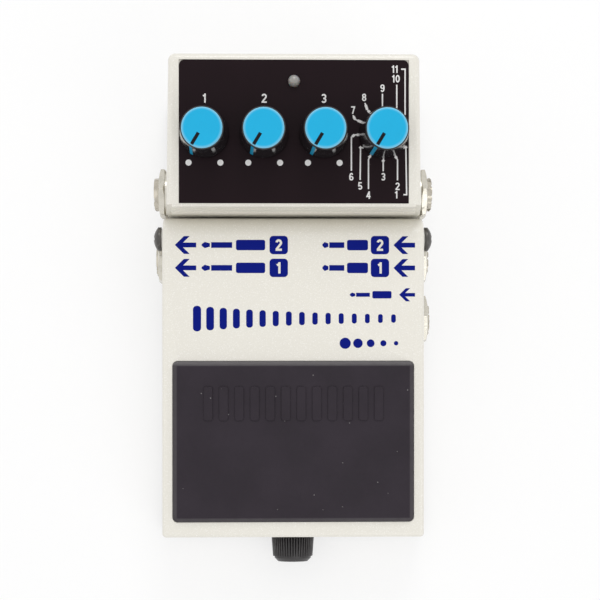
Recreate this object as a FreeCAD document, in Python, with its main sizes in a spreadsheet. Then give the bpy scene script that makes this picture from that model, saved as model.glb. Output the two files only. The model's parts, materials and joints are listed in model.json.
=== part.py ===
import FreeCAD, Part
import math
import os
import re

import Sketcher
from FreeCAD import Placement, Rotation, Vector

# Compact stompbox with a hinged treadle, four top knobs and five side sockets.
# Millimetres and degrees. +Z is up, +Y points to the rear, +X to the right.
# The origin is the middle of the rubber sheet's underside.

# Driving dimensions
SIZES = {
    # Casting
    "case_length": (122.0, "front face to rear face, at the base"),
    "case_base_width": (71.0, "across the drafted sides, at the base"),
    "side_draft": (4.9, "draft of the two sides"),
    "rear_draft": (1.2, "draft of the rear face"),
    "wall": (2.0, "wall of the casting"),
    "slope_angle": (8.0, "slope of the treadle and of the control panel"),
    "panel_step": (9.8, "height of the panel face over the treadle face, square to both"),
    "top_round": (1.4, "rounding of the casting's top edges"),
    "corner_round": (1.8, "rounding of the casting's upright edges"),
    "tower_gap": (0.4, "gap between the treadle's rounded rear end and the face of the tower"),
    "cradle_gap": (0.4, "gap under the treadle's rounded rear end"),
    "ledge_gap": (0.3, "gap left under the treadle's front flange at full press"),
    "rib_proud": (0.5, "how far the three cast ribs stand proud"),
    "rib_height": (2.2, "height of a cast rib"),
    "rib_pitch": (4.0, "spacing of the cast ribs"),
    "rib_drop": (1.2, "middle of the top rib under the panel's front edge"),
    "lip_thick": (1.8, "inner lip that the treadle closes over"),
    "lip_gap": (0.5, "side gap between lip and treadle skirt"),
    "lip_top_gap": (0.4, "gap over the lip at full press"),
    "tray_floor": (1.2, "floor of the battery tray"),
    "partition_y": (-11.9, "front face of the wall behind the battery"),
    "partition_thick": (1.2, "wall behind the battery"),
    "partition_height": (14.0, "wall behind the battery, over the tray floor"),
    # Underside
    "rubber_thick": (1.0, "rubber sheet"),
    "base_plate_thick": (1.2, "steel base plate"),
    "base_inset": (0.5, "base plate inside the casting's outline"),
    "base_screw_side": (4.5, "base screws from the sides of the casting's base"),
    "base_screw_front": (6.5, "front base screws from the front face"),
    "base_screw_rear": (5.2, "rear base screws from the rear face"),
    "base_screw_radius": (1.25, "shank of a base screw"),
    "base_screw_head": (2.8, "head radius of a base screw"),
    "base_screw_length": (6.5, "length under the head"),
    "screw_gap": (0.06, "radial gap round a screw's shank"),
    "boss_radius": (3.2, "screw boss"),
    # Treadle
    "ledge_width": (0.47, "casting's ledge beyond the treadle's side, at the front flange"),
    "treadle_plate": (2.0, "top plate of the treadle"),
    "skirt_thick": (2.0, "side skirts of the treadle"),
    "skirt_draft": (2.0, "draft of the skirts"),
    "front_edge_height": (22.0, "top front edge of the treadle over the ground"),
    "front_flange_depth": (4.2, "front flange, down from the top edge"),
    "front_flange_thick": (2.4, "front flange"),
    "treadle_round": (1.0, "rounding of the treadle's top edges"),
    "hinge_along": (77.3, "hinge axis behind the front edge, along the slope"),
    "rear_end_radius": (5.5, "rounded rear end, about the hinge axis"),
    "press_angle": (1.6, "travel of the treadle when it is pressed"),
    "open_angle": (80.0, "travel of the treadle when it is opened"),
    "pad_width": (62.4, "rubber pad, across"),
    "pad_length": (41.6, "rubber pad, along the slope"),
    "pad_front": (4.0, "pad behind the treadle's front edge"),
    "pad_thick": (2.0, "rubber pad"),
    "pad_seat": (0.6, "depth of the pad's seat in the treadle"),
    "pad_gap": (0.1, "gap round the pad in its seat"),
    "pad_bevel": (1.2, "bevel round the pad"),
    "pad_corner": (1.4, "corner radius of the pad"),
    "grip_bars": (12, "raised grip bars on the pad"),
    "grip_pitch": (4.0, "spacing of the grip bars"),
    "grip_width": (2.4, "width of a grip bar"),
    "grip_length": (8.9, "length of a grip bar"),
    "grip_front": (26.3, "grip bars behind the pad's front edge"),
    "grip_proud": (0.35, "height of a grip bar"),
    # Hinge
    "hinge_pin_radius": (1.5, "shank of a hinge screw"),
    "hinge_bush_radius": (2.5, "outside of a hinge bush"),
    "hinge_head_radius": (3.15, "head of a hinge screw"),
    "hinge_head_thick": (2.0, "head of a hinge screw"),
    "hinge_head_gap": (0.6, "gap between the treadle's top edge, across, and the head of a hinge screw"),
    "running_gap": (0.05, "radial running clearance"),
    "ear_gap": (0.4, "gap between the casting's ear and the treadle"),
    "ear_thick": (4.0, "casting's ear round the hinge screw"),
    "ear_reach": (7.0, "casting's ear in front of the hinge axis"),
    # Thumbscrew
    "thumb_height": (8.8, "thumbscrew axis over the ground"),
    "thumb_radius": (5.7, "knob of the thumbscrew at the casting"),
    "thumb_end_radius": (5.3, "knob of the thumbscrew at its outer end"),
    "thumb_length": (6.8, "knob of the thumbscrew"),
    "thumb_nose": (1.4, "smooth nose at the knob's outer end"),
    "thumb_nose_radius": (4.85, "smooth nose of the knob"),
    "thumb_chamfer": (0.9, "chamfer of the nose"),
    "thumb_flutes": (48, "flutes round the knob"),
    "thumb_flute_depth": (0.3, "depth of a flute"),
    "thumb_thread_radius": (1.95, "threaded shaft"),
    "thumb_tip_radius": (1.6, "plain tip of the shaft"),
    "thumb_washer": (0.5, "washer behind the knob"),
    "thumb_pitch": (0.7, "thread pitch"),
    "thumb_turns": (3, "turns from the drawn place to tight"),
    "recess_gap": (0.25, "gap round the knob in its recess"),
    "tip_gap": (0.25, "gap between the drawn tip and the guide bush"),
    "tab_radius": (72.3, "front face of the guide tab, about the hinge axis"),
    "tab_thick": (1.6, "guide tab"),
    "tab_half_width": (7.0, "half of the guide tab's width"),
    "tab_bottom": (5.8, "lower end of the guide tab over the ground"),
    "bush_half_width": (4.0, "half of the guide bush's width"),
    "bush_below": (3.1, "guide bush below the thumbscrew axis"),
    "bush_above": (5.4, "guide bush above the thumbscrew axis"),
    "bush_proud": (0.25, "guide bush proud of the tab, each side"),
    "slot_gap": (0.15, "gap round the tip in the slot"),
    # Return spring
    "spring_y": (-44.8, "axis of the return spring"),
    "spring_radius": (4.3, "mean radius of the return spring"),
    "spring_wire": (1.2, "wire of the return spring"),
    "spring_turns": (7, "turns of the return spring"),
    "spring_seat": (1.0, "raised ring that the spring stands on"),
    "spring_boss_gap": (1.8, "treadle boss under the plate, at the spring"),
    "spring_boss_radius": (4.9, "seats of the spring, below and above"),
    "stud_radius": (3.2, "studs inside the spring's ends"),
    "stud_length": (2.0, "studs inside the spring's ends"),
    # Foot switch
    "switch_y": (-4.0, "foot switch axis"),
    "switch_width": (12.0, "foot switch body"),
    "switch_body": (3.9, "height of the foot switch body"),
    "plunger_radius": (3.4, "foot switch plunger"),
    "plunger_rise": (3.4, "plunger over the body"),
    "bumper_radius": (3.6, "rubber bumper under the treadle"),
    "bumper_length": (4.0, "rubber bumper under the treadle"),
    "bumper_gap": (0.12, "gap between bumper and plunger"),
    # Battery
    "battery_length": (48.0, "battery, across the pedal"),
    "battery_width": (26.0, "battery, along the pedal"),
    "battery_height": (17.0, "battery"),
    "battery_rear": (-13.3, "rear face of the battery"),
    "battery_gap": (0.2, "gap under the battery"),
    "battery_round": (2.0, "rounding of the battery's long edges"),
    "terminal_pitch": (12.7, "spacing of the two terminals"),
    "terminal_height": (3.0, "height of a terminal"),
    "stud_terminal": (2.9, "radius of the stud terminal"),
    "socket_terminal": (3.9, "radius of the socket terminal"),
    "snap_thick": (3.4, "battery snap"),
    "snap_width": (25.0, "battery snap"),
    "lead_radius": (0.6, "battery lead"),
    "lead_pitch": (1.6, "spacing of the two leads"),
    "foam_thick": (1.25, "foam strip behind the battery"),
    # Boards
    "board_thick": (1.6, "circuit boards"),
    "main_board_bottom": (7.5, "underside of the main board"),
    "main_board_gap": (3.4, "gap between the main board's sides and the upper sockets' outer faces, across"),
    "main_board_front": (-9.5, "front edge of the main board"),
    "main_board_rear": (57.0, "rear edge of the main board"),
    "processor_width": (14.0, "largest chip"),
    "chip_width": (7.0, "other chips"),
    "chip_height": (1.4, "chips"),
    "capacitor_radius": (3.0, "capacitors"),
    "capacitor_height": (7.0, "capacitors"),
    "header_height": (2.2, "connector of the flat cable"),
    "header_margin": (1.0, "connector beyond the flat cable, each side"),
    "spacer_radius": (2.6, "board spacers"),
    "spacer_thread": (2.5, "depth of a board screw in its spacer"),
    "board_screw_radius": (1.2, "board screws"),
    "board_screw_head": (2.4, "heads of the board screws"),
    "board_screw_height": (1.4, "heads of the board screws"),
    "control_board_gap": (1.8, "gap between the control board and the casting's side walls"),
    "control_board_front": (89.5, "control board's front edge along the slope"),
    "control_board_rear": (118.5, "control board's rear edge along the slope"),
    "ribbon_width": (14.0, "flat cable between the boards"),
    "ribbon_thick": (0.9, "flat cable between the boards"),
    "ribbon_x": (8.0, "flat cable's left edge"),
    "ribbon_y": (50.0, "flat cable, rear of the middle"),
    "ribbon_bow": (3.0, "slack of the flat cable"),
    # Control panel
    "panel_width": (57.6, "panel plate"),
    "panel_front": (85.75, "panel plate's lower edge along the slope"),
    "panel_length": (35.9, "panel plate along the slope"),
    "panel_thick": (0.6, "panel plate"),
    "panel_seat": (0.5, "depth of the panel's seat"),
    "panel_gap": (0.08, "gap round the panel plate in its seat"),
    "knob_side": (6.375, "outer knobs' axes from the panel plate's sides"),
    "knob_along": (103.1, "knob axes along the slope"),
    "bushing_radius": (3.4, "threaded bushing of a control"),
    "bushing_height": (3.0, "control bushing over the panel face"),
    "shaft_radius": (3.0, "control shaft"),
    "pot_height": (6.8, "body of a control, under the panel"),
    "pot_width": (11.0, "body of a potentiometer"),
    "selector_width": (14.2, "body of the selector switch"),
    "nut_across": (9.0, "control nut, across flats"),
    "nut_height": (1.8, "control nut"),
    "washer_thick": (0.4, "control washer"),
    "knob_base_radius": (6.2, "control knob at its foot"),
    "knob_top_radius": (5.28, "control knob at its top"),
    "knob_foot": (0.9, "control knob's foot over the panel face"),
    "knob_top": (12.1, "control knob's top over the panel face"),
    "knob_cavity_radius": (5.55, "hollow under the knob"),
    "knob_cavity": (3.0, "depth of the hollow under the knob"),
    "cap_radius": (4.98, "coloured cap"),
    "cap_sink": (0.9, "depth of the cap's seat"),
    "cap_proud": (0.55, "cap over the knob's top"),
    "cap_bevel": (0.35, "bevel round the cap"),
    "pointer_width": (0.66, "pointer groove"),
    "pointer_depth": (0.25, "pointer groove"),
    "pointer_start": (0.31, "pointer's start as a share of the cap's radius"),
    "pointer_angle": (31.0, "pointer left of straight down, at rest"),
    "lamp_along": (116.3, "indicator along the slope"),
    "lamp_radius": (1.5, "indicator lens"),
    "lamp_proud": (0.5, "straight part of the lens over the panel"),
    # Sockets
    "jack_bore": (3.25, "bore of a socket"),
    "jack_bushing_radius": (4.5, "threaded bushing of a socket"),
    "jack_nut_across": (12.0, "socket nut, across flats"),
    "jack_nut_height": (1.6, "socket nut"),
    "nut_chamfer": (0.45, "bevel of a socket nut's corners, along its axis"),
    "jack_washer": (0.5, "socket washer"),
    "jack_washer_radius": (6.0, "socket washer"),
    "jack_seat_radius": (7.0, "flat seat in the side of the casting"),
    "jack_proud": (1.4, "bushing of an upper socket beyond its nut"),
    "low_jack_proud": (0.6, "bushing of a lower socket beyond its nut"),
    "jack_depth": (20.8, "body of a socket, square to the side"),
    "jack_width": (14.4, "body of a socket, along the side"),
    "jack_height": (10.0, "body of a socket"),
    "jack_wall_gap": (0.2, "gap between socket body and casting"),
    "pin_radius": (0.5, "pin of an upper socket"),
    "low_jack_z": (14.2, "axis of the three lower sockets"),
    "low_jack_y": (12.9, "the pair of lower sockets"),
    "third_jack_y": (-3.3, "the third lower socket"),
    "high_jack_z": (27.0, "axis of the upper sockets"),
    "high_jack_y": (28.4, "axis of the upper sockets"),
    "high_jack_rear": (36.4, "rear face of an upper socket's body"),
    "inlet_above": (6.5, "power inlet's axis over the main board"),
    "inlet_half": (4.6, "half of the power inlet's width"),
    "inlet_depth": (11.5, "power inlet's body"),
    "inlet_nose": (4.0, "round nose of the power inlet"),
    "inlet_bore": (2.9, "bore of the power inlet"),
    "inlet_pin": (1.0, "pin of the power inlet"),
}

doc = FreeCAD.newDocument("delay_pedal")
size = doc.addObject("Spreadsheet::Sheet", "size")
for row, (alias, (value, meaning)) in enumerate(SIZES.items(), start=1):
    size.set(f"A{row}", alias)
    size.set(f"B{row}", str(value))
    size.set(f"C{row}", meaning)
    size.setAlias(f"B{row}", alias)
doc.recompute()
nodes = {}


def bound(text):
    """Expression text with each named size written as a cell of the sheet."""
    return re.sub(r"[a-z][a-z_]*[a-z]", lambda word: f"size.{word[0]}" if word[0] in SIZES else word[0], text)


def bind(piece, **properties):
    for name, text in properties.items():
        piece.setExpression(name, bound(text))
    return piece


# Places worked out from the sizes, as expressions
FRONT = "(-case_length / 2)"
REAR = "(case_length / 2)"
FLOOR = "(rubber_thick + base_plate_thick)"
HINGE_Y = "(hinge_along * cos(slope_angle) + rear_end_radius * sin(slope_angle) - case_length / 2)"
HINGE_Z = "(front_edge_height + hinge_along * sin(slope_angle) - rear_end_radius * cos(slope_angle))"
TOWER_Y = f"({HINGE_Y} + rear_end_radius + tower_gap)"
PRESS_DROP = f"(({HINGE_Y} + case_length / 2) * tan(press_angle))"
LEDGE_FRONT = f"(front_edge_height - front_flange_depth - {PRESS_DROP} - ledge_gap)"
LEDGE_REAR = f"({HINGE_Z} - rear_end_radius - cradle_gap)"
TREADLE_HALF = f"(case_base_width / 2 - ({LEDGE_FRONT} - {FLOOR}) * tan(side_draft) - ledge_width)"
LIP_HALF = f"({TREADLE_HALF} - skirt_thick - lip_gap)"
LIP_FRONT = f"({FRONT} + front_flange_thick + 1.5 * ledge_gap + lip_top_gap / 3)"
TRAY_TOP = f"({FLOOR} + tray_floor)"
BOARD_TOP = "(main_board_bottom + board_thick)"
EAR_RADIUS = "(rear_end_radius - treadle_plate - ear_gap)"
THUMB_TRAVEL = "(thumb_pitch * thumb_turns)"
THUMB_BACK = f"({FRONT} - running_gap)"
RECESS_FLOOR = f"({THUMB_BACK} + thumb_washer + {THUMB_TRAVEL} + 2 * running_gap)"
POT_BOTTOM = "(-wall - pot_height)"
KNOB_PITCH = "((panel_width - 2 * knob_side) / 3)"


def slope_z(y, above):
    """Height at y of the plane that lies so far above the treadle's top face."""
    return f"(front_edge_height + (({y}) + case_length / 2) * tan(slope_angle) + ({above}) / cos(slope_angle))"


def side_x(z):
    """Half width of the casting's drafted side at a height."""
    return f"(case_base_width / 2 - (({z}) - {FLOOR}) * tan(side_draft))"


def rear_y(z):
    """Rear face of the casting at a height."""
    return f"({REAR} - (({z}) - {FLOOR}) * tan(rear_draft))"


# Builders
def place(piece, x="0", y="0", z="0", axis=None, angle="0"):
    """Bind a piece's place, with a turn about one axis where one is given."""
    if axis is not None:
        piece.Placement = Placement(Vector(), Rotation(axis, 45))
        piece.setExpression("Placement.Rotation.Angle", bound(angle))
    for letter, text in zip("xyz", (x, y, z)):
        piece.setExpression(f"Placement.Base.{letter}", bound(text))
    return piece


def lay_on_slope(piece, x="0", along="0", above="0"):
    """Place a piece whose own Z is square to the sloped faces."""
    y = f"({along}) * cos(slope_angle) - ({above}) * sin(slope_angle) - case_length / 2"
    z = f"front_edge_height + ({along}) * sin(slope_angle) + ({above}) * cos(slope_angle)"
    return place(piece, x, y, z, Vector(1, 0, 0), "slope_angle")


def box(name, low, high):
    piece = doc.addObject("Part::Box", name)
    for side, start, end in zip(("Length", "Width", "Height"), low, high):
        piece.setExpression(side, bound(f"({end}) - ({start})"))
    return place(piece, *low)


TURNS = {"X": (Vector(0, 1, 0), "90"), "Y": (Vector(1, 0, 0), "-90"), "Z": (None, "0")}


def cylinder(name, radius, length, at, along="Z"):
    """Cylinder that runs from a point along one axis."""
    piece = bind(doc.addObject("Part::Cylinder", name), Radius=radius, Height=length)
    return place(piece, *at, *TURNS[along])


def hexagon(name, across, length, at, along="Z"):
    piece = doc.addObject("Part::Prism", name)
    piece.Polygon = 6
    bind(piece, Circumradius=f"({across}) / sqrt(3)", Height=length)
    return place(piece, *at, *TURNS[along])


def fuse(name, *pieces):
    joined = doc.addObject("Part::MultiFuse", name)
    joined.Shapes = list(pieces)
    joined.Refine = True
    return joined


def common(name, *pieces):
    shared = doc.addObject("Part::MultiCommon", name)
    shared.Shapes = list(pieces)
    return shared


def cut(name, base, *tools):
    """Base less the tools."""
    rest = doc.addObject("Part::Cut", name)
    rest.Base = base
    rest.Tool = tools[0] if len(tools) == 1 else fuse(f"{name}_tools", *tools)
    return rest


def group(name, *pieces):
    together = doc.addObject("Part::Compound", name)
    together.Links = list(pieces)
    return together


def mirrored(name, piece):
    """Copy of a piece on the other side of the middle."""
    copy = doc.addObject("Part::Mirroring", name)
    copy.Source = piece
    copy.Normal = Vector(1, 0, 0)
    return copy


def draw(sketch, points):
    """Closed outline whose corners are bound to pairs of expressions."""
    count = len(points)
    turns = [2 * math.pi * i / count for i in range(count)]
    ring = [Vector(math.cos(turn), math.sin(turn), 0) for turn in turns]
    for i in range(count):
        sketch.addGeometry(Part.LineSegment(ring[i], ring[(i + 1) % count]))
    for i in range(count):
        sketch.addConstraint(Sketcher.Constraint("Coincident", i, 2, (i + 1) % count, 1))
    for i, corner in enumerate(points):
        for kind, start, text in zip(("DistanceX", "DistanceY"), ring[i], corner):
            index = sketch.addConstraint(Sketcher.Constraint(kind, i, 1, start))
            sketch.renameConstraint(index, f"corner_{i}_{kind[-1]}")
            sketch.setExpression(f"Constraints.corner_{i}_{kind[-1]}", bound(text))
    return sketch


def profile(name, points, width):
    """Solid with a side view drawn in Y and Z, as wide as given about the middle."""
    outline = draw(doc.addObject("Sketcher::SketchObject", f"{name}_outline"), points)
    outline.Placement = Placement(Vector(), Rotation(Vector(1, 1, 1), 120))
    solid = doc.addObject("Part::Extrusion", name)
    solid.Base = outline
    solid.DirMode = "Normal"
    solid.Solid = True
    solid.Symmetric = True
    return bind(solid, LengthFwd=width)


def drafted(name, low, high, half_low, half_high, front, rear_low, rear_high):
    """Block between two heights, narrower at the top."""
    block = doc.addObject("Part::Wedge", name)
    bind(block, Ymin=low, Ymax=high, Xmin=f"-({half_low})", Xmax=half_low, X2min=f"-({half_high})",
        X2max=half_high)
    bind(block, Zmin=f"-({rear_low})", Zmax=f"-({front})", Z2min=f"-({rear_high})", Z2max=f"-({front})")
    return block


def body_plane(body, role):
    return next(item for item in body.Origin.OriginFeatures if item.Role == role)


def new_body(name):
    return doc.addObject("PartDesign::Body", f"{name}_body")


def body_sketch(body, name, role, points):
    sketch = body.newObject("Sketcher::SketchObject", name)
    sketch.AttachmentSupport = [(body_plane(body, role), "")]
    sketch.MapMode = "FlatFace"
    return draw(sketch, points)


def turned(name, points):
    """Body turned about its own Z, from an outline in radius and height."""
    body = new_body(name)
    outline = body_sketch(body, f"{name}_outline", "XZ_Plane", points)
    turn = body.newObject("PartDesign::Revolution", f"{name}_turn")
    turn.Profile = outline
    turn.ReferenceAxis = (outline, ["V_Axis"])
    turn.Angle = 360
    body.Tip = turn
    return body


def tube(name, inner, outer, low, high):
    return turned(name, [(inner, low), (outer, low), (outer, high), (inner, high)])


def bevelled_hexagon(name, across, length, at, along):
    """Hexagon whose corners are bevelled at both ends."""
    rim = f"0.49 * {across}"
    beyond = f"0.6 * {across}"
    limit = turned(f"{name}_limit", [
        ("0", "0"),
        (rim, "0"),
        (beyond, "nut_chamfer"),
        (beyond, f"{length} - nut_chamfer"),
        (rim, length),
        ("0", length),
    ])
    place(limit, *at, *TURNS[along])
    return common(name, hexagon(f"{name}_sharp", across, length, at, along), limit)


def padded(name, points, length):
    """Body with an outline in its own XY plane, raised by a length."""
    body = new_body(name)
    outline = body_sketch(body, f"{name}_outline", "XY_Plane", points)
    pad = body.newObject("PartDesign::Pad", f"{name}_pad")
    pad.Profile = outline
    bind(pad, Length=length)
    body.Tip = pad
    return body


def rectangle(half_x, low_y, high_y):
    return [(f"-({half_x})", low_y), (half_x, low_y), (half_x, high_y), (f"-({half_x})", high_y)]


def rounded(name, base, radius, wanted):
    """Part::Fillet on the edges that a test picks, with a radius from the sheet."""
    doc.recompute()
    edges = [i for i, edge in enumerate(base.Shape.Edges, start=1) if wanted(edge)]
    fillet = doc.addObject("Part::Fillet", name)
    fillet.Base = base
    fillet.Edges = [(i, size.get(radius), size.get(radius)) for i in edges]
    return fillet


def number(text):
    """Value of an expression, read back from a placed helper."""
    helper = bind(doc.addObject("App::FeaturePython", "helper"))
    helper.addProperty("App::PropertyFloat", "Value")
    bind(helper, Value=text)
    helper.recompute()
    value = helper.Value
    doc.removeObject(helper.Name)
    return value


def keep(node, piece):
    """Name a finished piece as one of the pedal's nodes."""
    piece.Label = node
    nodes[node] = piece
    return piece


# Casting
BOSSES = [(sign, end) for sign in (-1, 1) for end in ("front", "rear")]


def boss_at(sign, end):
    """Place of a base screw."""
    y = f"{FRONT} + base_screw_front" if end == "front" else f"{REAR} - base_screw_rear"
    return f"{sign} * (case_base_width / 2 - base_screw_side)", y


# Sockets: name, side, place along the casting, height, and whether the tower holds them
JACKS = [
    ("input_b_jack", 1, "high_jack_y", "high_jack_z", True),
    ("input_a_jack", 1, "low_jack_y", "low_jack_z", False),
    ("tempo_jack", 1, "third_jack_y", "low_jack_z", False),
    ("output_b_jack", -1, "high_jack_y", "high_jack_z", True),
    ("output_a_jack", -1, "low_jack_y", "low_jack_z", False),
]


def jack_seat(z):
    """Flat seat of a socket's washer on the drafted side."""
    return f"({side_x(z)} - jack_washer_radius * tan(side_draft))"


def jack_face(z, high):
    """Outer face of a socket's body, inside the casting."""
    if high:
        return f"({side_x(f'{z} + jack_height / 2')} - wall - jack_wall_gap)"
    return f"({LIP_HALF} - lip_thick - jack_wall_gap)"


def on_side(sign, near, far):
    """Two X values in rising order, for a stretch on one side."""
    return (near, far) if sign > 0 else (f"-({far})", f"-({near})")


def case_shell():
    top = f"({slope_z(REAR, 'panel_step')} + 2)"
    outer_block = drafted(
        "case_block", FLOOR, top, side_x(FLOOR), side_x(top), FRONT, REAR, rear_y(top))
    place(outer_block, axis=Vector(1, 0, 0), angle="90")
    side_view = profile("case_side_view", [
        (FRONT, FLOOR),
        (REAR, FLOOR),
        (REAR, slope_z(REAR, "panel_step")),
        (TOWER_Y, slope_z(TOWER_Y, "panel_step")),
        (TOWER_Y, LEDGE_REAR),
        (HINGE_Y, LEDGE_REAR),
        (FRONT, LEDGE_FRONT),
    ], "case_base_width * 2")
    sharp = common("case_sharp", outer_block, side_view)
    doc.recompute()
    length = size.get("case_length")
    tower = number(TOWER_Y)
    hinge = number(HINGE_Z)

    def upright(edge):
        box_ = edge.BoundBox
        return box_.ZLength > 10 and abs(box_.Center.y) > 0.45 * length

    def tower_top(edge):
        box_ = edge.BoundBox
        return box_.ZMin > hinge + 8 and box_.Center.y > tower + 5

    soft_uprights = rounded("case_uprights", sharp, "corner_round", upright)
    outer = rounded("case_outer", soft_uprights, "top_round", tower_top)

    cavity_block = drafted(
        "cavity_block", f"{FLOOR} - 1", top, f"{side_x(FLOOR + ' - 1')} - wall", f"{side_x(top)} - wall",
        f"{FRONT} + wall", f"{REAR} - wall", f"{rear_y(top)} - wall")
    place(cavity_block, axis=Vector(1, 0, 0), angle="90")
    inside = f"({TOWER_Y} + wall)"
    cavity_view = profile("cavity_view", [
        (FRONT, f"{FLOOR} - 1"),
        (REAR, f"{FLOOR} - 1"),
        (REAR, slope_z(REAR, "panel_step - wall")),
        (inside, slope_z(inside, "panel_step - wall")),
        (inside, f"{LEDGE_REAR} - wall"),
        (HINGE_Y, f"{LEDGE_REAR} - wall"),
        (FRONT, f"{LEDGE_FRONT} - wall"),
    ], "case_base_width * 2")
    cavity = common("case_cavity", cavity_block, cavity_view)

    lip_front_top = f"({slope_z(LIP_FRONT, '-treadle_plate')} - {PRESS_DROP} - lip_top_gap)"
    lip = profile("case_lip", [
        (LIP_FRONT, FLOOR),
        (HINGE_Y, FLOOR),
        (HINGE_Y, HINGE_Z),
        (f"{HINGE_Y} - {EAR_RADIUS} * sin(slope_angle)", f"{HINGE_Z} + {EAR_RADIUS} * cos(slope_angle)"),
        (LIP_FRONT, lip_front_top),
    ], f"2 * {LIP_HALF}")
    lip_inside = box(
        "lip_inside", (f"-({LIP_HALF} - lip_thick)", f"{LIP_FRONT} + lip_thick", "0"),
        (f"{LIP_HALF} - lip_thick", f"{HINGE_Y} + 1", f"{HINGE_Z} + 20"))
    cradle = cylinder(
        "cradle", "rear_end_radius + cradle_gap", "2 * case_base_width",
        ("-case_base_width", HINGE_Y, HINGE_Z), "X")
    shell = fuse("case_walls", cut("case_outside", outer, cradle), lip)

    ears = []
    for sign, side in ((-1, "left"), (1, "right")):
        near, far = on_side(sign, f"{LIP_HALF} - ear_thick", LIP_HALF)
        ears.append(box(
            f"ear_block_{side}", (near, f"{HINGE_Y} - ear_reach", f"{HINGE_Z} - ear_reach"),
            (far, HINGE_Y, f"{HINGE_Z} + {EAR_RADIUS} / 2")))
        ears.append(cylinder(f"ear_round_{side}", EAR_RADIUS, "ear_thick", (near, HINGE_Y, HINGE_Z), "X"))

    ribs = []
    for i in range(3):
        middle = f"({slope_z(TOWER_Y, 'panel_step')} - rib_drop - {i} * rib_pitch)"
        ribs.append(box(
            f"cast_rib_{i}", (
                f"-({side_x(middle)} - top_round)", f"{TOWER_Y} - rib_proud", f"{middle} - rib_height / 2"),
            (f"{side_x(middle)} - top_round", f"{TOWER_Y} + wall / 2", f"{middle} + rib_height / 2")))

    half = side_x("wall")
    floor = box("tray", (f"-({half})", f"{FRONT} + wall / 2", FLOOR),
        (half, "partition_y + partition_thick", TRAY_TOP))
    partition = box(
        "partition", (f"-({half})", "partition_y", FLOOR),
        (half, "partition_y + partition_thick", f"{TRAY_TOP} + partition_height"))
    thumb_block = box(
        "thumb_block", ("-tab_half_width - 1", f"{FRONT} + wall / 2", FLOOR),
        ("tab_half_width + 1", f"{RECESS_FLOOR} + lip_thick * 1.5", f"{LEDGE_FRONT} - 0.4"))
    seat = cylinder("spring_seat", "spring_boss_radius", "spring_seat", ("0", "spring_y", TRAY_TOP))
    stud = cylinder("spring_stud", "stud_radius", "stud_length + spring_seat", ("0", "spring_y", TRAY_TOP))
    bosses = []
    for sign, end in BOSSES:
        x, y = boss_at(sign, end)
        bosses.append(cylinder(f"boss_{end}_{'left' if sign < 0 else 'right'}", "boss_radius",
            "base_screw_length", (x, y, FLOOR)))
    inner_parts = common("case_inner_parts", fuse("inner_parts", floor, partition, thumb_block, *bosses),
        outer)

    hollow = cut("case_hollow", shell, cavity, lip_inside)
    full = fuse("case_full", hollow, inner_parts, seat, stud, *ears, *ribs)

    holes = []
    for sign, end in BOSSES:
        x, y = boss_at(sign, end)
        holes.append(cylinder(
            f"screw_hole_{end}_{'left' if sign < 0 else 'right'}", "base_screw_radius + screw_gap",
            "base_screw_length + 1", (x, y, f"{FLOOR} - 1")))
    holes.append(cylinder(
        "hinge_holes", "hinge_pin_radius + running_gap", "2 * case_base_width",
        ("-case_base_width", HINGE_Y, HINGE_Z), "X"))
    holes.append(cylinder(
        "thumb_thread", "thumb_thread_radius + running_gap", "20",
        ("0", f"{FRONT} - 1", "thumb_height"), "Y"))
    holes.append(cylinder(
        "thumb_recess", "thumb_radius + recess_gap", f"{RECESS_FLOOR} - ({FRONT} - 1)",
        ("0", f"{FRONT} - 1", "thumb_height"), "Y"))
    holes.append(box(
        "lead_notch", (f"battery_length / 2 - 0.5", "partition_y - 1", f"{BOARD_TOP} - board_thick - 0.6"),
        ("battery_length / 2 + snap_thick + 0.5", "partition_y + partition_thick + 1", f"{BOARD_TOP} + 0.8")))
    for name, sign, y, z, high in JACKS:
        near, far = on_side(sign, f"{LIP_HALF} - lip_thick - wall", "case_base_width")
        holes.append(cylinder(f"{name}_hole", "jack_bushing_radius + running_gap", f"({far}) - ({near})",
            (near, y, z), "X"))
        near, far = on_side(sign, jack_seat(z), "case_base_width")
        holes.append(cylinder(f"{name}_seat", "jack_seat_radius", f"({far}) - ({near})", (near, y, z), "X"))
    holes.append(cylinder(
        "inlet_hole", "inlet_nose + running_gap * 2", "20",
        ("0", f"{REAR} - 10", f"{BOARD_TOP} + inlet_above"), "Y"))
    panel_tools = [box(
        "panel_seat", ("-panel_width / 2 - panel_gap", "panel_front - panel_gap", "-panel_seat"),
        ("panel_width / 2 + panel_gap", "panel_front + panel_length + panel_gap", "5"))]
    for i in range(4):
        panel_tools.append(cylinder(
            f"control_hole_{i + 1}", "bushing_radius + 2 * running_gap", "20",
            (f"({i} - 1.5) * {KNOB_PITCH}", "knob_along", "-10")))
    panel_tools.append(cylinder("lamp_hole", "lamp_radius + running_gap", "20", ("0", "lamp_along", "-10")))
    panel_side = lay_on_slope(fuse("panel_side_tools", *panel_tools), above="panel_step")
    return cut("case_finished", full, *holes, panel_side)


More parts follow.
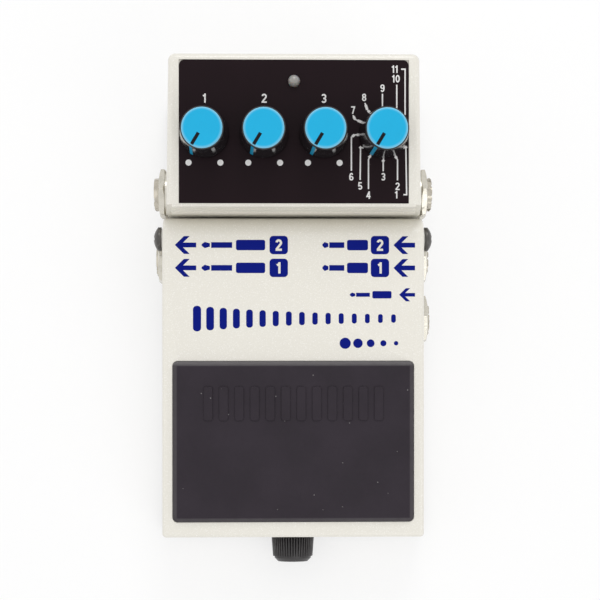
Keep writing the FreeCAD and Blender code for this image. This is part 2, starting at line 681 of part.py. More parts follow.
def base_pieces():
    """Steel plate, rubber sheet and the four screws under the casting."""
    half = "(case_base_width / 2 - base_inset)"
    far = "(case_length / 2 - base_inset)"
    plate_blank = box("plate_blank", (f"-{half}", f"-{far}", "rubber_thick"), (half, far, FLOOR))
    rubber_blank = box("rubber_blank", (f"-{half}", f"-{far}", "0"), (half, far, "rubber_thick"))

    def upright(edge):
        return edge.BoundBox.ZLength > 0.5

    plate = rounded("plate_rounded", plate_blank, "corner_round", upright)
    rubber = rounded("rubber_rounded", rubber_blank, "corner_round", upright)
    plate_holes, rubber_holes, screws = [], [], []
    for sign, end in BOSSES:
        x, y = boss_at(sign, end)
        tag = f"{end}_{'left' if sign < 0 else 'right'}"
        plate_holes.append(cylinder(f"plate_hole_{tag}", "base_screw_radius + 4 * screw_gap", "3",
            (x, y, "0")))
        rubber_holes.append(cylinder(f"rubber_hole_{tag}", "base_screw_head + 0.5", "3", (x, y, "-1")))
        shank = cylinder(f"shank_{tag}", "base_screw_radius", "base_screw_length", (x, y, "rubber_thick"))
        head = cylinder(f"head_{tag}", "base_screw_head", "rubber_thick * 0.85",
            (x, y, "rubber_thick * 0.15"))
        slot_low = (f"{x} - base_screw_head", f"{y} - 0.4", "0")
        slot_high = (f"{x} + base_screw_head", f"{y} + 0.4", "rubber_thick * 0.5")
        slot = box(f"screw_slot_{tag}", slot_low, slot_high)
        screws.append(cut(f"base_screw_{tag}", fuse(f"base_screw_blank_{tag}", shank, head), slot))
    keep("base_plate", cut("plate_finished", plate, *plate_holes))
    keep("base_rubber_sheet", cut("rubber_finished", rubber, *rubber_holes))
    keep("base_screws", group("base_screw_group", *screws))


# Treadle
def hinge_tube(name, inner, outer, half):
    """Length of tube about the hinge axis."""
    at = (f"-({half})", HINGE_Y, HINGE_Z)
    return cut(
        name, cylinder(f"{name}_outer", outer, f"2 * ({half})", at, "X"),
        cylinder(f"{name}_inner", inner, f"2 * ({half})", at, "X"))


def treadle():
    half = TREADLE_HALF
    depth = "20"
    block = drafted(
        "treadle_block", f"-{depth}", "5", f"{half} + {depth} * tan(skirt_draft)",
        f"{half} - 5 * tan(skirt_draft)",
        "-20", "hinge_along + 20", "hinge_along + 20")
    lay_on_slope(block)
    block.setExpression("Placement.Rotation.Angle", bound("90 + slope_angle"))
    side_view = profile("treadle_side_view", [
        (FRONT, f"front_edge_height - front_flange_depth"),
        (HINGE_Y, f"{HINGE_Z} - rear_end_radius"),
        (HINGE_Y, HINGE_Z),
        (f"{HINGE_Y} - rear_end_radius * sin(slope_angle)",
            f"{HINGE_Z} + rear_end_radius * cos(slope_angle)"),
        (FRONT, "front_edge_height"),
    ], "2 * case_base_width")
    rear_end = cylinder(
        "treadle_rear_end", "rear_end_radius", "2 * case_base_width",
        ("-case_base_width", HINGE_Y, HINGE_Z), "X")
    sharp = common("treadle_sharp", block, fuse("treadle_view", side_view, rear_end))
    doc.recompute()
    outside = number(TREADLE_HALF) - 1
    front = -size.get("case_length") / 2
    low = size.get("front_edge_height") - 1

    def soft(edge):
        box_ = edge.BoundBox
        along_side = abs(box_.Center.x) > outside and box_.YLength > 3
        along_side = along_side and box_.ZMax > low and box_.XLength < 2
        top_front = abs(box_.Center.y - front) < 0.01 and box_.ZMin > low
        uprights = abs(box_.Center.y - front) < 0.01 and box_.ZLength > 2
        underside = along_side and box_.YLength > 50 and box_.ZMin < low - 2
        return (along_side or top_front or uprights) and not underside

    outer = rounded("treadle_outer", sharp, "treadle_round", soft)
    inner = f"({TREADLE_HALF} - skirt_thick)"
    inner_front = f"({FRONT} + front_flange_thick)"
    hollow_view = profile("treadle_hollow", [
        (inner_front, "0"),
        (f"{HINGE_Y} + rear_end_radius * 2", "0"),
        (f"{HINGE_Y} + rear_end_radius * 2", HINGE_Z),
        (HINGE_Y, HINGE_Z),
        (f"{HINGE_Y} - (rear_end_radius - treadle_plate) * sin(slope_angle)", slope_z(
            f"{HINGE_Y} - (rear_end_radius - treadle_plate) * sin(slope_angle)", "-treadle_plate")),
        (inner_front, slope_z(inner_front, "-treadle_plate")),
    ], f"2 * {inner}")
    hollow_end = cylinder(
        "treadle_hollow_end", "rear_end_radius - treadle_plate", f"2 * {inner}",
        (f"-{inner}", HINGE_Y, HINGE_Z), "X")
    shell = cut("treadle_shell", outer, hollow_view, hollow_end)

    tab = common(
        "guide_tab", hinge_tube("tab_tube", "tab_radius - tab_thick", "tab_radius", "tab_half_width"),
        box("tab_zone", ("-tab_half_width", FRONT, "tab_bottom"),
            ("tab_half_width", "0", f"{slope_z(FRONT, '-treadle_plate / 2')}")))
    boss_top = slope_z("spring_y", "-treadle_plate / 2")
    boss_bottom = f"({slope_z('spring_y', '-treadle_plate')} - spring_boss_gap)"
    spring_boss = cylinder("spring_boss", "spring_boss_radius", f"{boss_top} - {boss_bottom}",
        ("0", "spring_y", boss_bottom))
    spring_stud = cylinder(
        "treadle_stud", "stud_radius", "stud_length + 1", ("0", "spring_y", f"{boss_bottom} - stud_length"))
    switch_top = slope_z("switch_y", "-treadle_plate / 2")
    plunger_top = f"({BOARD_TOP} + switch_body + plunger_rise)"
    bumper_top = f"({plunger_top} + bumper_gap + bumper_length)"
    switch_boss = cylinder(
        "switch_boss", "bumper_radius + 1", f"{switch_top} - {bumper_top}", ("0", "switch_y", bumper_top))
    solid = fuse("treadle_solid", shell, tab, spring_boss, spring_stud, switch_boss)

    bush_window = box(
        "bush_window", ("-bush_half_width", FRONT, "thumb_height - bush_below"),
        ("bush_half_width", "0", "thumb_height + bush_above"))
    window = common(
        "tab_window", hinge_tube(
            "window_tube", "tab_radius - tab_thick - 1", "tab_radius + 1", "bush_half_width"), bush_window)
    hinge_hole = cylinder(
        "treadle_hinge_hole", "hinge_bush_radius + running_gap", "2 * case_base_width",
        ("-case_base_width", HINGE_Y, HINGE_Z), "X")
    seat = rounded("pad_seat_rounded", box(
        "pad_seat_box", ("-pad_width / 2 - pad_gap", "pad_front - pad_gap", "-pad_seat"),
        ("pad_width / 2 + pad_gap", "pad_front + pad_length + pad_gap", "5")), "pad_corner",
        lambda edge: edge.BoundBox.ZLength > 1)
    # The fillet keeps the box's frame, so the whole tool is laid on the slope
    seat_tool = lay_on_slope(group("pad_seat_tool", seat))
    return cut("treadle_finished", solid, window, hinge_hole, seat_tool)


def treadle_pieces():
    keep("treadle", treadle())
    bumper_bottom = f"{BOARD_TOP} + switch_body + plunger_rise + bumper_gap"
    keep(
        "switch_bumper", cylinder(
            "bumper", "bumper_radius", "bumper_length", ("0", "switch_y", bumper_bottom)))

    body = padded("pad", rectangle("pad_width / 2", "pad_front", "pad_front + pad_length"), "pad_thick")
    doc.recompute()
    tip = body.Tip
    corners = body.newObject("PartDesign::Fillet", "pad_corners")
    corners.Base = (
        tip, [f"Edge{i}" for i, edge in enumerate(tip.Shape.Edges, start=1) if edge.BoundBox.ZLength > 1])
    bind(corners, Radius="pad_corner")
    body.Tip = corners
    doc.recompute()
    top = size.get("pad_thick")
    bevel = body.newObject("PartDesign::Chamfer", "pad_bevels")
    bevel.Base = (corners, [
        f"Edge{i}" for i, edge in enumerate(corners.Shape.Edges, start=1) if edge.BoundBox.ZMin > top - 0.01])
    bind(bevel, Size="pad_bevel")
    body.Tip = bevel
    first = "(-(grip_bars - 1) / 2 * grip_pitch)"
    bar_outline = body_sketch(body, "grip_outline", "XY_Plane", [
        (f"{first} - grip_width / 2", "pad_front + grip_front"),
        (f"{first} + grip_width / 2", "pad_front + grip_front"),
        (f"{first} + grip_width / 2", "pad_front + grip_front + grip_length"),
        (f"{first} - grip_width / 2", "pad_front + grip_front + grip_length"),
    ])
    bar = body.newObject("PartDesign::Pad", "grip_bar")
    bar.Profile = bar_outline
    bind(bar, Length="pad_thick + grip_proud")
    row = body.newObject("PartDesign::LinearPattern", "grip_row")
    row.Originals = [bar]
    row.Direction = (body_plane(body, "X_Axis"), [""])
    bind(row, Length="(grip_bars - 1) * grip_pitch", Occurrences="grip_bars")
    body.Tip = row
    keep("treadle_pad", lay_on_slope(body, above="-pad_seat"))

    sleeve = common("guide_sleeve", hinge_tube(
        "bush_tube", "tab_radius - tab_thick - bush_proud", "tab_radius + bush_proud",
        "bush_half_width - running_gap"),
        box("bush_zone", ("-bush_half_width", FRONT, "thumb_height - bush_below + running_gap"),
            ("bush_half_width", "0", "thumb_height + bush_above - running_gap")))
    drop = f"(tab_radius * tan(press_angle))"
    slot_radius = "thumb_tip_radius + slot_gap"
    slot_low = cylinder("slot_low", slot_radius, "20", ("0", FRONT, "thumb_height"), "Y")
    slot_high = cylinder("slot_high", slot_radius, "20", ("0", FRONT, f"thumb_height + {drop}"), "Y")
    slot_middle = box(
        "slot_middle", (f"-({slot_radius})", FRONT, "thumb_height"),
        (slot_radius, f"{FRONT} + 20", f"thumb_height + {drop}"))
    keep("guide_bush", cut("guide_bush_solid", sleeve, slot_low, slot_middle, slot_high))


def hinge_pieces():
    head_start = f"({TREADLE_HALF} + hinge_head_gap)"
    head_end = f"({head_start} + hinge_head_thick)"
    shank = cylinder(
        "hinge_shank", "hinge_pin_radius", f"{head_start} - ({LIP_HALF} - ear_thick)",
        (f"{LIP_HALF} - ear_thick", HINGE_Y, HINGE_Z), "X")
    head_blank = cylinder("hinge_head_blank", "hinge_head_radius", "hinge_head_thick",
        (head_start, HINGE_Y, HINGE_Z), "X")
    dome_radius = "(hinge_head_radius * 1.5)"
    dome = bind(doc.addObject("Part::Sphere", "hinge_dome"), Radius=dome_radius)
    place(dome, f"{head_end} - {dome_radius}", HINGE_Y, HINGE_Z)
    slots = []
    cross = (("0.45", "hinge_head_radius / 2"), ("hinge_head_radius / 2", "0.45"))
    for i, (half_y, half_z) in enumerate(cross):
        slots.append(box(
            f"hinge_slot_{i}", (
                f"{head_end} - hinge_head_thick / 2", f"{HINGE_Y} - {half_y}", f"{HINGE_Z} - {half_z}"),
            (f"{head_end} + 1", f"{HINGE_Y} + {half_y}", f"{HINGE_Z} + {half_z}")))
    screw = cut("hinge_screw_right", fuse("hinge_screw_blank", shank, common("hinge_head", head_blank, dome)),
        *slots)
    keep("hinge_screws", group("hinge_screw_pair", screw, mirrored("hinge_screw_left", screw)))

    start = f"({LIP_HALF} + running_gap)"
    length = f"({head_start} - {start} - running_gap)"
    bush = cut(
        "hinge_bush_right", cylinder(
            "bush_outside", "hinge_bush_radius", length, (start, HINGE_Y, HINGE_Z), "X"),
        cylinder("bush_inside", "hinge_pin_radius + running_gap", length, (start, HINGE_Y, HINGE_Z), "X"))
    keep("hinge_bushes", group("hinge_bush_pair", bush, mirrored("hinge_bush_left", bush)))


def thumbscrew_pieces():
    knob = turned("thumb_knob", [
        ("thumb_thread_radius + running_gap", "0"),
        ("thumb_radius", "0"),
        ("thumb_end_radius", "thumb_length - thumb_nose"),
        ("thumb_nose_radius", "thumb_length - thumb_nose"),
        ("thumb_nose_radius", "thumb_length - thumb_chamfer"),
        ("thumb_nose_radius - thumb_chamfer", "thumb_length"),
        ("0", "thumb_length"),
        ("0", "thumb_length * 0.6"),
        ("thumb_thread_radius + running_gap", "thumb_length * 0.6"),
    ])
    doc.recompute()
    flute_outline = body_sketch(knob, "flute_outline", "XY_Plane", [
        ("thumb_end_radius - thumb_flute_depth", "0"),
        ("thumb_radius + 0.2", "-thumb_flute_depth"),
        ("thumb_radius + 0.2", "thumb_flute_depth"),
    ])
    flute = knob.newObject("PartDesign::Pocket", "flute")
    flute.Profile = flute_outline
    flute.Reversed = True
    bind(flute, Length="thumb_length - thumb_nose")
    flutes = knob.newObject("PartDesign::PolarPattern", "flutes")
    flutes.Originals = [flute]
    flutes.Axis = (body_plane(knob, "Z_Axis"), [""])
    flutes.Angle = 360
    bind(flutes, Occurrences="thumb_flutes")
    knob.Tip = flutes
    forward = Vector(1, 0, 0)
    keep("thumbscrew_knob", place(knob, "0", THUMB_BACK, "thumb_height", forward, "90"))

    tip_reach = "(tab_radius + bush_proud + tip_gap)"
    tip_y = f"({HINGE_Y} - sqrt({tip_reach}^2 - ({HINGE_Z} - thumb_height - thumb_tip_radius)^2))"
    inside = "(thumb_length * 0.6 - running_gap)"
    shaft = turned("thumb_shaft", [
        ("0", inside),
        ("0", f"{THUMB_BACK} - {tip_y}"),
        ("thumb_tip_radius", f"{THUMB_BACK} - {tip_y}"),
        ("thumb_tip_radius", f"{THUMB_BACK} - {tip_y} + thumb_tip_radius"),
        ("thumb_thread_radius", f"{THUMB_BACK} - {tip_y} + thumb_tip_radius"),
        ("thumb_thread_radius", inside),
    ])
    keep("thumbscrew_shaft", place(shaft, "0", THUMB_BACK, "thumb_height", forward, "90"))
    washer = tube(
        "thumb_washer_ring", "thumb_thread_radius + 2 * running_gap", "thumb_radius - 1",
        "-thumb_washer - running_gap",
        "-running_gap")
    keep("thumbscrew_washer", place(washer, "0", THUMB_BACK, "thumb_height", forward, "90"))


def arc_from(start, direction_point, end):
    """Arc from start to end whose tangents meet at a third point."""
    middle = (start + end) * 0.5
    half_turn = math.atan2((direction_point - middle).Length, (start - middle).Length)
    peak = middle + (direction_point - middle) * (math.tan(half_turn / 2) / math.tan(half_turn))
    return Part.Arc(start, peak, end).toShape()


def return_spring():
    """One tube on biarcs of a quarter turn."""
    wire = size.get("spring_wire")
    radius = size.get("spring_radius")
    turns = size.get("spring_turns")
    foot = number(f"{TRAY_TOP} + spring_seat") + wire / 2 + 0.12
    head = number(f"{slope_z('spring_y', '-treadle_plate')} - spring_boss_gap") - wire / 2 - 0.15
    rise = (head - foot) / (2 * math.pi * turns)
    centre_y = size.get("spring_y")

    def point(angle):
        return Vector(radius * math.cos(angle), centre_y + radius * math.sin(angle), foot + rise * angle)

    def tangent(angle):
        return Vector(-radius * math.sin(angle), radius * math.cos(angle), rise).normalize()

    quarter = math.pi / 2
    edges = [Part.LineSegment(point(0) - tangent(0) * wire, point(0)).toShape()]
    for i in range(int(4 * turns)):
        start, end = point(i * quarter), point((i + 1) * quarter)
        leave, arrive = tangent(i * quarter), tangent((i + 1) * quarter)
        gap = end - start
        lean = leave + arrive
        a = lean.dot(lean) - 4
        b = -2 * gap.dot(lean)
        c = gap.dot(gap)
        reach = (-b - math.sqrt(b * b - 4 * a * c)) / (2 * a)
        if reach < 0:
            reach = (-b + math.sqrt(b * b - 4 * a * c)) / (2 * a)
        near, far = start + leave * reach, end - arrive * reach
        join = (near + far) * 0.5
        edges.append(arc_from(start, near, join))
        edges.append(arc_from(join, far, end))
    last = 4 * turns * quarter
    edges.append(Part.LineSegment(point(last), point(last) + tangent(last) * wire).toShape())
    path = Part.Wire(edges)
    circle = Part.Wire(Part.Circle(point(0) - tangent(0) * wire, tangent(0), wire / 2).toShape())
    sweep = Part.BRepOffsetAPI.MakePipeShell(path)
    sweep.add(circle)
    sweep.build()
    sweep.makeSolid()
    solid = sweep.shape()
    print("spring: least gap to itself %.2f mm, volume %.1f of %.1f" % (
        rise * 2 * math.pi - wire, solid.Volume, math.pi * wire * wire / 4 * path.Length))
    spring = doc.addObject("Part::Feature", "spring_tube")
    spring.Shape = solid
    keep("return_spring", spring)


def battery_pieces():
    front = "(battery_rear - battery_width)"
    bottom = f"({TRAY_TOP} + battery_gap)"
    block = box(
        "battery_block", ("-battery_length / 2", front, bottom),
        ("battery_length / 2", "battery_rear", f"{bottom} + battery_height"))
    keep("battery", rounded(
        "battery_can", block, "battery_round", lambda edge: edge.BoundBox.XLength > 10))
    middle_y = f"({front} + battery_width / 2)"
    middle_z = f"({bottom} + battery_height / 2)"
    end = "battery_length / 2"
    stud = cylinder(
        "terminal_stud", "stud_terminal", "terminal_height",
        (end, f"{middle_y} - terminal_pitch / 2", middle_z), "X")
    socket_outer = hexagon(
        "terminal_socket_outer", "socket_terminal * sqrt(3)", "terminal_height",
        (end, f"{middle_y} + terminal_pitch / 2", middle_z), "X")
    socket_inner = cylinder(
        "terminal_socket_inner", "stud_terminal - 0.2", "terminal_height",
        (f"{end} + 0.8", f"{middle_y} + terminal_pitch / 2", middle_z), "X")
    keep(
        "battery_terminals", group("terminal_pair", stud, cut("terminal_socket", socket_outer, socket_inner)))

    start = f"({end} + battery_gap)"
    snap_low = f"({BOARD_TOP} - board_thick - 1)"
    snap_block = box(
        "snap_block", (start, f"{middle_y} - snap_width / 2", snap_low),
        (f"{start} + snap_thick", f"{middle_y} + snap_width / 2", f"{bottom} + battery_height - 1.5"))
    pocket_stud = cylinder(
        "snap_pocket_stud", "stud_terminal + 0.2", "terminal_height",
        (end, f"{middle_y} - terminal_pitch / 2", middle_z), "X")
    pocket_socket = cylinder(
        "snap_pocket_socket", "socket_terminal + 0.2", "terminal_height",
        (end, f"{middle_y} + terminal_pitch / 2", middle_z), "X")
    keep("battery_snap", cut("snap_solid", snap_block, pocket_stud, pocket_socket))
    lead_start = f"({middle_y} + snap_width / 2)"
    for name, step in (("battery_lead_red", 0), ("battery_lead_black", 1)):
        x = f"{start} + lead_radius + battery_gap + {step} * lead_pitch"
        keep(name, cylinder(
            f"{name}_tube", "lead_radius", f"main_board_front - {lead_start}",
            (x, lead_start, f"{BOARD_TOP} - board_thick / 2"), "Y"))
    keep("battery_foam", box(
        "foam_strip", (
            "-battery_length * 0.4", "partition_y - foam_thick - running_gap", f"{TRAY_TOP} + battery_gap"),
        ("battery_length * 0.4", "partition_y - running_gap", f"{TRAY_TOP} + partition_height - 1")))


def switch_pieces():
    half = "(switch_width / 2)"
    top = f"({BOARD_TOP} + switch_body)"
    block = box(
        "switch_block", (f"-{half}", f"switch_y - {half}", BOARD_TOP), (half, f"switch_y + {half}", top))
    well = cylinder(
        "switch_well", "plunger_radius + running_gap", "switch_body",
        ("0", "switch_y", f"{top} - switch_body + 0.8"))
    keep("foot_switch_body", cut("switch_solid", block, well))
    travel = f"(({HINGE_Y} - switch_y) * tan(press_angle))"
    start = f"({BOARD_TOP} + 0.8 + {travel} + 0.2)"
    keep("foot_switch_plunger", cylinder(
        "plunger_stem", "plunger_radius", f"{top} + plunger_rise - {start}", ("0", "switch_y", start)))


BOARD_HALF = f"({jack_face('high_jack_z', True)} - main_board_gap)"
SPACERS = [
    ("front", "0", "0.25 * main_board_rear"),
    ("left", f"-0.8 * {BOARD_HALF}", "0.85 * main_board_rear"),
    ("right", f"0.88 * {BOARD_HALF}", "0.77 * main_board_rear"),
]


def board_pieces():
    blank = box(
        "main_board_blank", (f"-{BOARD_HALF}", "main_board_front", "main_board_bottom"),
        (BOARD_HALF, "main_board_rear", BOARD_TOP))
    board_holes, spacers, screws = [], [], []
    for tag, x, y in SPACERS:
        board_holes.append(cylinder(
            f"board_hole_{tag}", "board_screw_radius + 2 * screw_gap", "3 * board_thick",
            (x, y, "main_board_bottom - board_thick")))
        post = hexagon(f"spacer_post_{tag}", "spacer_radius * 2", f"main_board_bottom - {FLOOR}",
            (x, y, FLOOR))
        drill = cylinder(
            f"spacer_drill_{tag}", "board_screw_radius + screw_gap", "2 * spacer_thread",
            (x, y, "main_board_bottom - 1.2 * spacer_thread"))
        spacers.append(cut(f"spacer_{tag}", post, drill))
        shank = cylinder(
            f"board_shank_{tag}", "board_screw_radius", "board_thick + spacer_thread",
            (x, y, "main_board_bottom - spacer_thread"))
        head = cylinder(f"board_head_{tag}", "board_screw_head", "board_screw_height", (x, y, BOARD_TOP))
        slot = box(
            f"board_slot_{tag}",
            (f"{x} - board_screw_head", f"{y} - board_screw_head / 8",
                f"{BOARD_TOP} + 0.6 * board_screw_height"),
            (f"{x} + board_screw_head", f"{y} + board_screw_head / 8",
                f"{BOARD_TOP} + 1.5 * board_screw_height"))
        screws.append(cut(f"board_screw_{tag}", fuse(f"board_screw_blank_{tag}", shank, head), slot))
    keep("main_board", cut("main_board_solid", blank, *board_holes))
    keep("board_spacers", group("spacer_group", *spacers))
    keep("board_screws", group("board_screw_group", *screws))

    chips = []
    for tag, across, along, width in (
            ("processor", "-0.22", "0.66", "processor_width"), ("memory", "-0.44", "0.42", "chip_width"),
            ("converter", "0.15", "0.44", "chip_width"), ("amplifier", "0.2", "0.7", "chip_width * 0.7")):
        x, y = f"({across} * {BOARD_HALF})", f"({along} * main_board_rear)"
        chips.append(box(
            f"chip_{tag}", (f"{x} - {width} / 2", f"{y} - {width} / 2", BOARD_TOP),
            (f"{x} + {width} / 2", f"{y} + {width} / 2", f"{BOARD_TOP} + chip_height")))
    for i, across in enumerate(("-0.73", "0.42", "0.66")):
        chips.append(cylinder(
            f"capacitor_{i}", "capacitor_radius", "capacitor_height",
            (f"{across} * {BOARD_HALF}", "0.7 * main_board_rear", BOARD_TOP)))
    keep("main_board_parts", group("main_board_part_group", *chips))

    highest = slope_z("control_board_rear - case_length / 2", f"panel_step + {POT_BOTTOM}")
    half = f"({side_x(highest)} - wall - control_board_gap)"
    control = box(
        "control_board_box", (f"-{half}", "control_board_front", f"{POT_BOTTOM} - board_thick"),
        (half, "control_board_rear", POT_BOTTOM))
    keep("control_board", lay_on_slope(group("control_board_tray", control), above="panel_step"))

    underside = slope_z("ribbon_y", f"panel_step + {POT_BOTTOM} - board_thick")
    header = box(
        "ribbon_header_box", ("ribbon_x - header_margin", "ribbon_y - 2 * header_margin", BOARD_TOP),
        ("ribbon_x + ribbon_width + header_margin", "ribbon_y + 2 * header_margin",
            f"{BOARD_TOP} + header_height"))
    keep("ribbon_header", header)
    low = number(f"{BOARD_TOP} + header_height")
    high = number(f"{underside} - ribbon_thick / 6")
    y = size.get("ribbon_y")
    bow = size.get("ribbon_bow")
    span = (high - low) / 5
    points = [
        Vector(0, y, low), Vector(0, y, low + span), Vector(0, y - bow, low + 2 * span),
        Vector(0, y - bow, low + 3 * span), Vector(0, y, low + 4 * span), Vector(0, y, high)]
    edges = rounded_path(points)
    strip = Part.Wire(edges).makeOffset2D(size.get("ribbon_thick") / 2, fill=False, openResult=True)
    other = Part.Wire(edges).makeOffset2D(-size.get("ribbon_thick") / 2, fill=False, openResult=True)
    face = Part.Face(ribbon_outline(strip, other))
    solid = face.extrude(Vector(size.get("ribbon_width"), 0, 0))
    solid.translate(Vector(size.get("ribbon_x"), 0, 0))
    ribbon = doc.addObject("Part::Feature", "ribbon_strip")
    ribbon.Shape = Part.Solid(solid) if solid.ShapeType != "Solid" else solid
    keep("ribbon_cable", ribbon)


def rounded_path(points):
    """Straight runs joined by tangent arcs, each as large as its two runs allow."""
    edges, start = [], points[0]
    for before, corner, after in zip(points, points[1:], points[2:]):
        arriving = (corner - before).normalize()
        leaving = (after - corner).normalize()
        reach = 0.45 * min((corner - before).Length, (after - corner).Length)
        near, far = corner - arriving * reach, corner + leaving * reach
        edges.append(Part.LineSegment(start, near).toShape())
        edges.append(arc_from(near, corner, far))
        start = far
    edges.append(Part.LineSegment(start, points[-1]).toShape())
    return edges


def ribbon_outline(one, other):
    """Closed wire round two offset lines."""
    ends_one = sorted((vertex.Point for vertex in one.Vertexes), key=lambda p: p.z)
    ends_other = sorted((vertex.Point for vertex in other.Vertexes), key=lambda p: p.z)
    closing = [
        Part.LineSegment(ends_one[0], ends_other[0]).toShape(),
        Part.LineSegment(ends_one[-1], ends_other[-1]).toShape()]
    return Part.Wire(Part.__sortEdges__(one.Edges + other.Edges + closing))


# Controls
CONTROLS = [("level", "pot_width"), ("feedback", "pot_width"), ("time", "pot_width"),
    ("mode", "selector_width")]


def control_pieces():
    nuts, washers = [], []
    panel_top = "(panel_thick - panel_seat)"
    for i, (name, width) in enumerate(CONTROLS):
        x = f"({i} - 1.5) * {KNOB_PITCH}"

        def set_down(piece):
            return lay_on_slope(piece, x, "knob_along", "panel_step")

        half = f"({width} / 2)"
        block = box(f"{name}_block", (f"-{half}", f"-{half}", POT_BOTTOM), (half, half, "-wall"))
        neck = cylinder(f"{name}_neck", "bushing_radius", "bushing_height + wall", ("0", "0", "-wall"))
        bore = cylinder(f"{name}_bore", "shaft_radius + running_gap", "30", ("0", "0", f"{POT_BOTTOM} + 1"))
        kind = "selector" if name == "mode" else "pot"
        keep(f"{name}_{kind}", set_down(cut(f"{name}_control", fuse(f"{name}_blank", block, neck), bore)))
        shaft = turned(f"{name}_stem", [
            ("0", f"{POT_BOTTOM} + 1.2"), ("shaft_radius", f"{POT_BOTTOM} + 1.2"),
            ("shaft_radius", "knob_top - 2"), ("0", "knob_top - 2")])
        keep(f"{name}_shaft", set_down(shaft))

        washer = cut(
            f"{name}_washer_ring",
            cylinder(f"{name}_washer_disc", "nut_across * 0.58", "washer_thick", ("0", "0", panel_top)),
            cylinder(f"{name}_washer_hole", "bushing_radius + running_gap", "5", ("0", "0", "-1")))
        washers.append(set_down(washer))
        nut = cut(
            f"{name}_nut_ring", hexagon(
                f"{name}_nut_blank", "nut_across", "nut_height", ("0", "0", f"{panel_top} + washer_thick")),
            cylinder(f"{name}_nut_hole", "bushing_radius + running_gap", "5", ("0", "0", "-1")))
        nuts.append(set_down(nut))

        seat = "(knob_top - cap_sink)"
        knob = turned(f"{name}_knob_shape", [
            ("knob_cavity_radius", "knob_foot"),
            ("knob_base_radius", "knob_foot"),
            ("knob_top_radius", "knob_top"),
            ("cap_radius + running_gap / 2", "knob_top"),
            ("cap_radius + running_gap / 2", seat),
            ("0", seat),
            ("0", "knob_top - 2 + running_gap"),
            ("shaft_radius + running_gap / 2", "knob_top - 2 + running_gap"),
            ("shaft_radius + running_gap / 2", "knob_foot + knob_cavity"),
            ("knob_cavity_radius", "knob_foot + knob_cavity"),
        ])
        keep(f"{name}_knob", set_down(knob))
        cap = turned(f"{name}_cap_shape", [
            ("0", seat),
            ("cap_radius", seat),
            ("cap_radius", "knob_top + cap_proud - cap_bevel"),
            ("cap_radius - cap_bevel", "knob_top + cap_proud"),
            ("0", "knob_top + cap_proud"),
        ])
        groove = box(
            f"{name}_groove", (
                "-pointer_width / 2", "-cap_radius - 1", "knob_top + cap_proud - pointer_depth"),
            ("pointer_width / 2", "-cap_radius * pointer_start", "knob_top + 5"))
        turned_groove = place(
            group(f"{name}_groove_turned", groove), axis=Vector(0, 0, 1), angle="-pointer_angle")
        keep(f"{name}_cap", set_down(cut(f"{name}_cap_solid", cap, turned_groove)))
    keep("control_nuts", group("control_nut_group", *nuts))
    keep("control_washers", group("control_washer_group", *washers))


def panel_pieces():
    plate = box(
        "panel_blank", ("-panel_width / 2", "panel_front", "-panel_seat"),
        ("panel_width / 2", "panel_front + panel_length", "panel_thick - panel_seat"))
    far = size.get("panel_front") + size.get("panel_length")
    soft = rounded("panel_rounded", plate, "top_round", lambda edge: (
        edge.BoundBox.ZLength > 0.2 and edge.BoundBox.YMin > far - 0.01))
    holes = []
    for i, (name, width) in enumerate(CONTROLS):
        holes.append(cylinder(
            f"panel_hole_{name}", "bushing_radius + 2 * running_gap", "5",
            (f"({i} - 1.5) * {KNOB_PITCH}", "knob_along", "-2")))
    holes.append(cylinder("panel_lamp_hole", "lamp_radius + running_gap", "5", ("0", "lamp_along", "-2")))
    keep("panel_plate", lay_on_slope(cut("panel_solid", soft, *holes), above="panel_step"))

    stem = cylinder("lamp_stem", "lamp_radius", "4 + lamp_proud", ("0", "0", "-4"))
    dome = place(bind(doc.addObject("Part::Sphere", "lamp_dome"), Radius="lamp_radius"), z="lamp_proud")
    legs = [cylinder(f"lamp_leg_{sign}", "0.25", f"-4.5 - {POT_BOTTOM}",
        (f"{sign} * 0.85", "0", POT_BOTTOM)) for sign in (-1, 1)]
    flange = cylinder("lamp_flange", "lamp_radius + 0.4", "1", ("0", "0", "-5"))
    keep("indicator_lamp", lay_on_slope(
        fuse("lamp_solid", stem, dome, flange, *legs), "0", "lamp_along", "panel_step"))


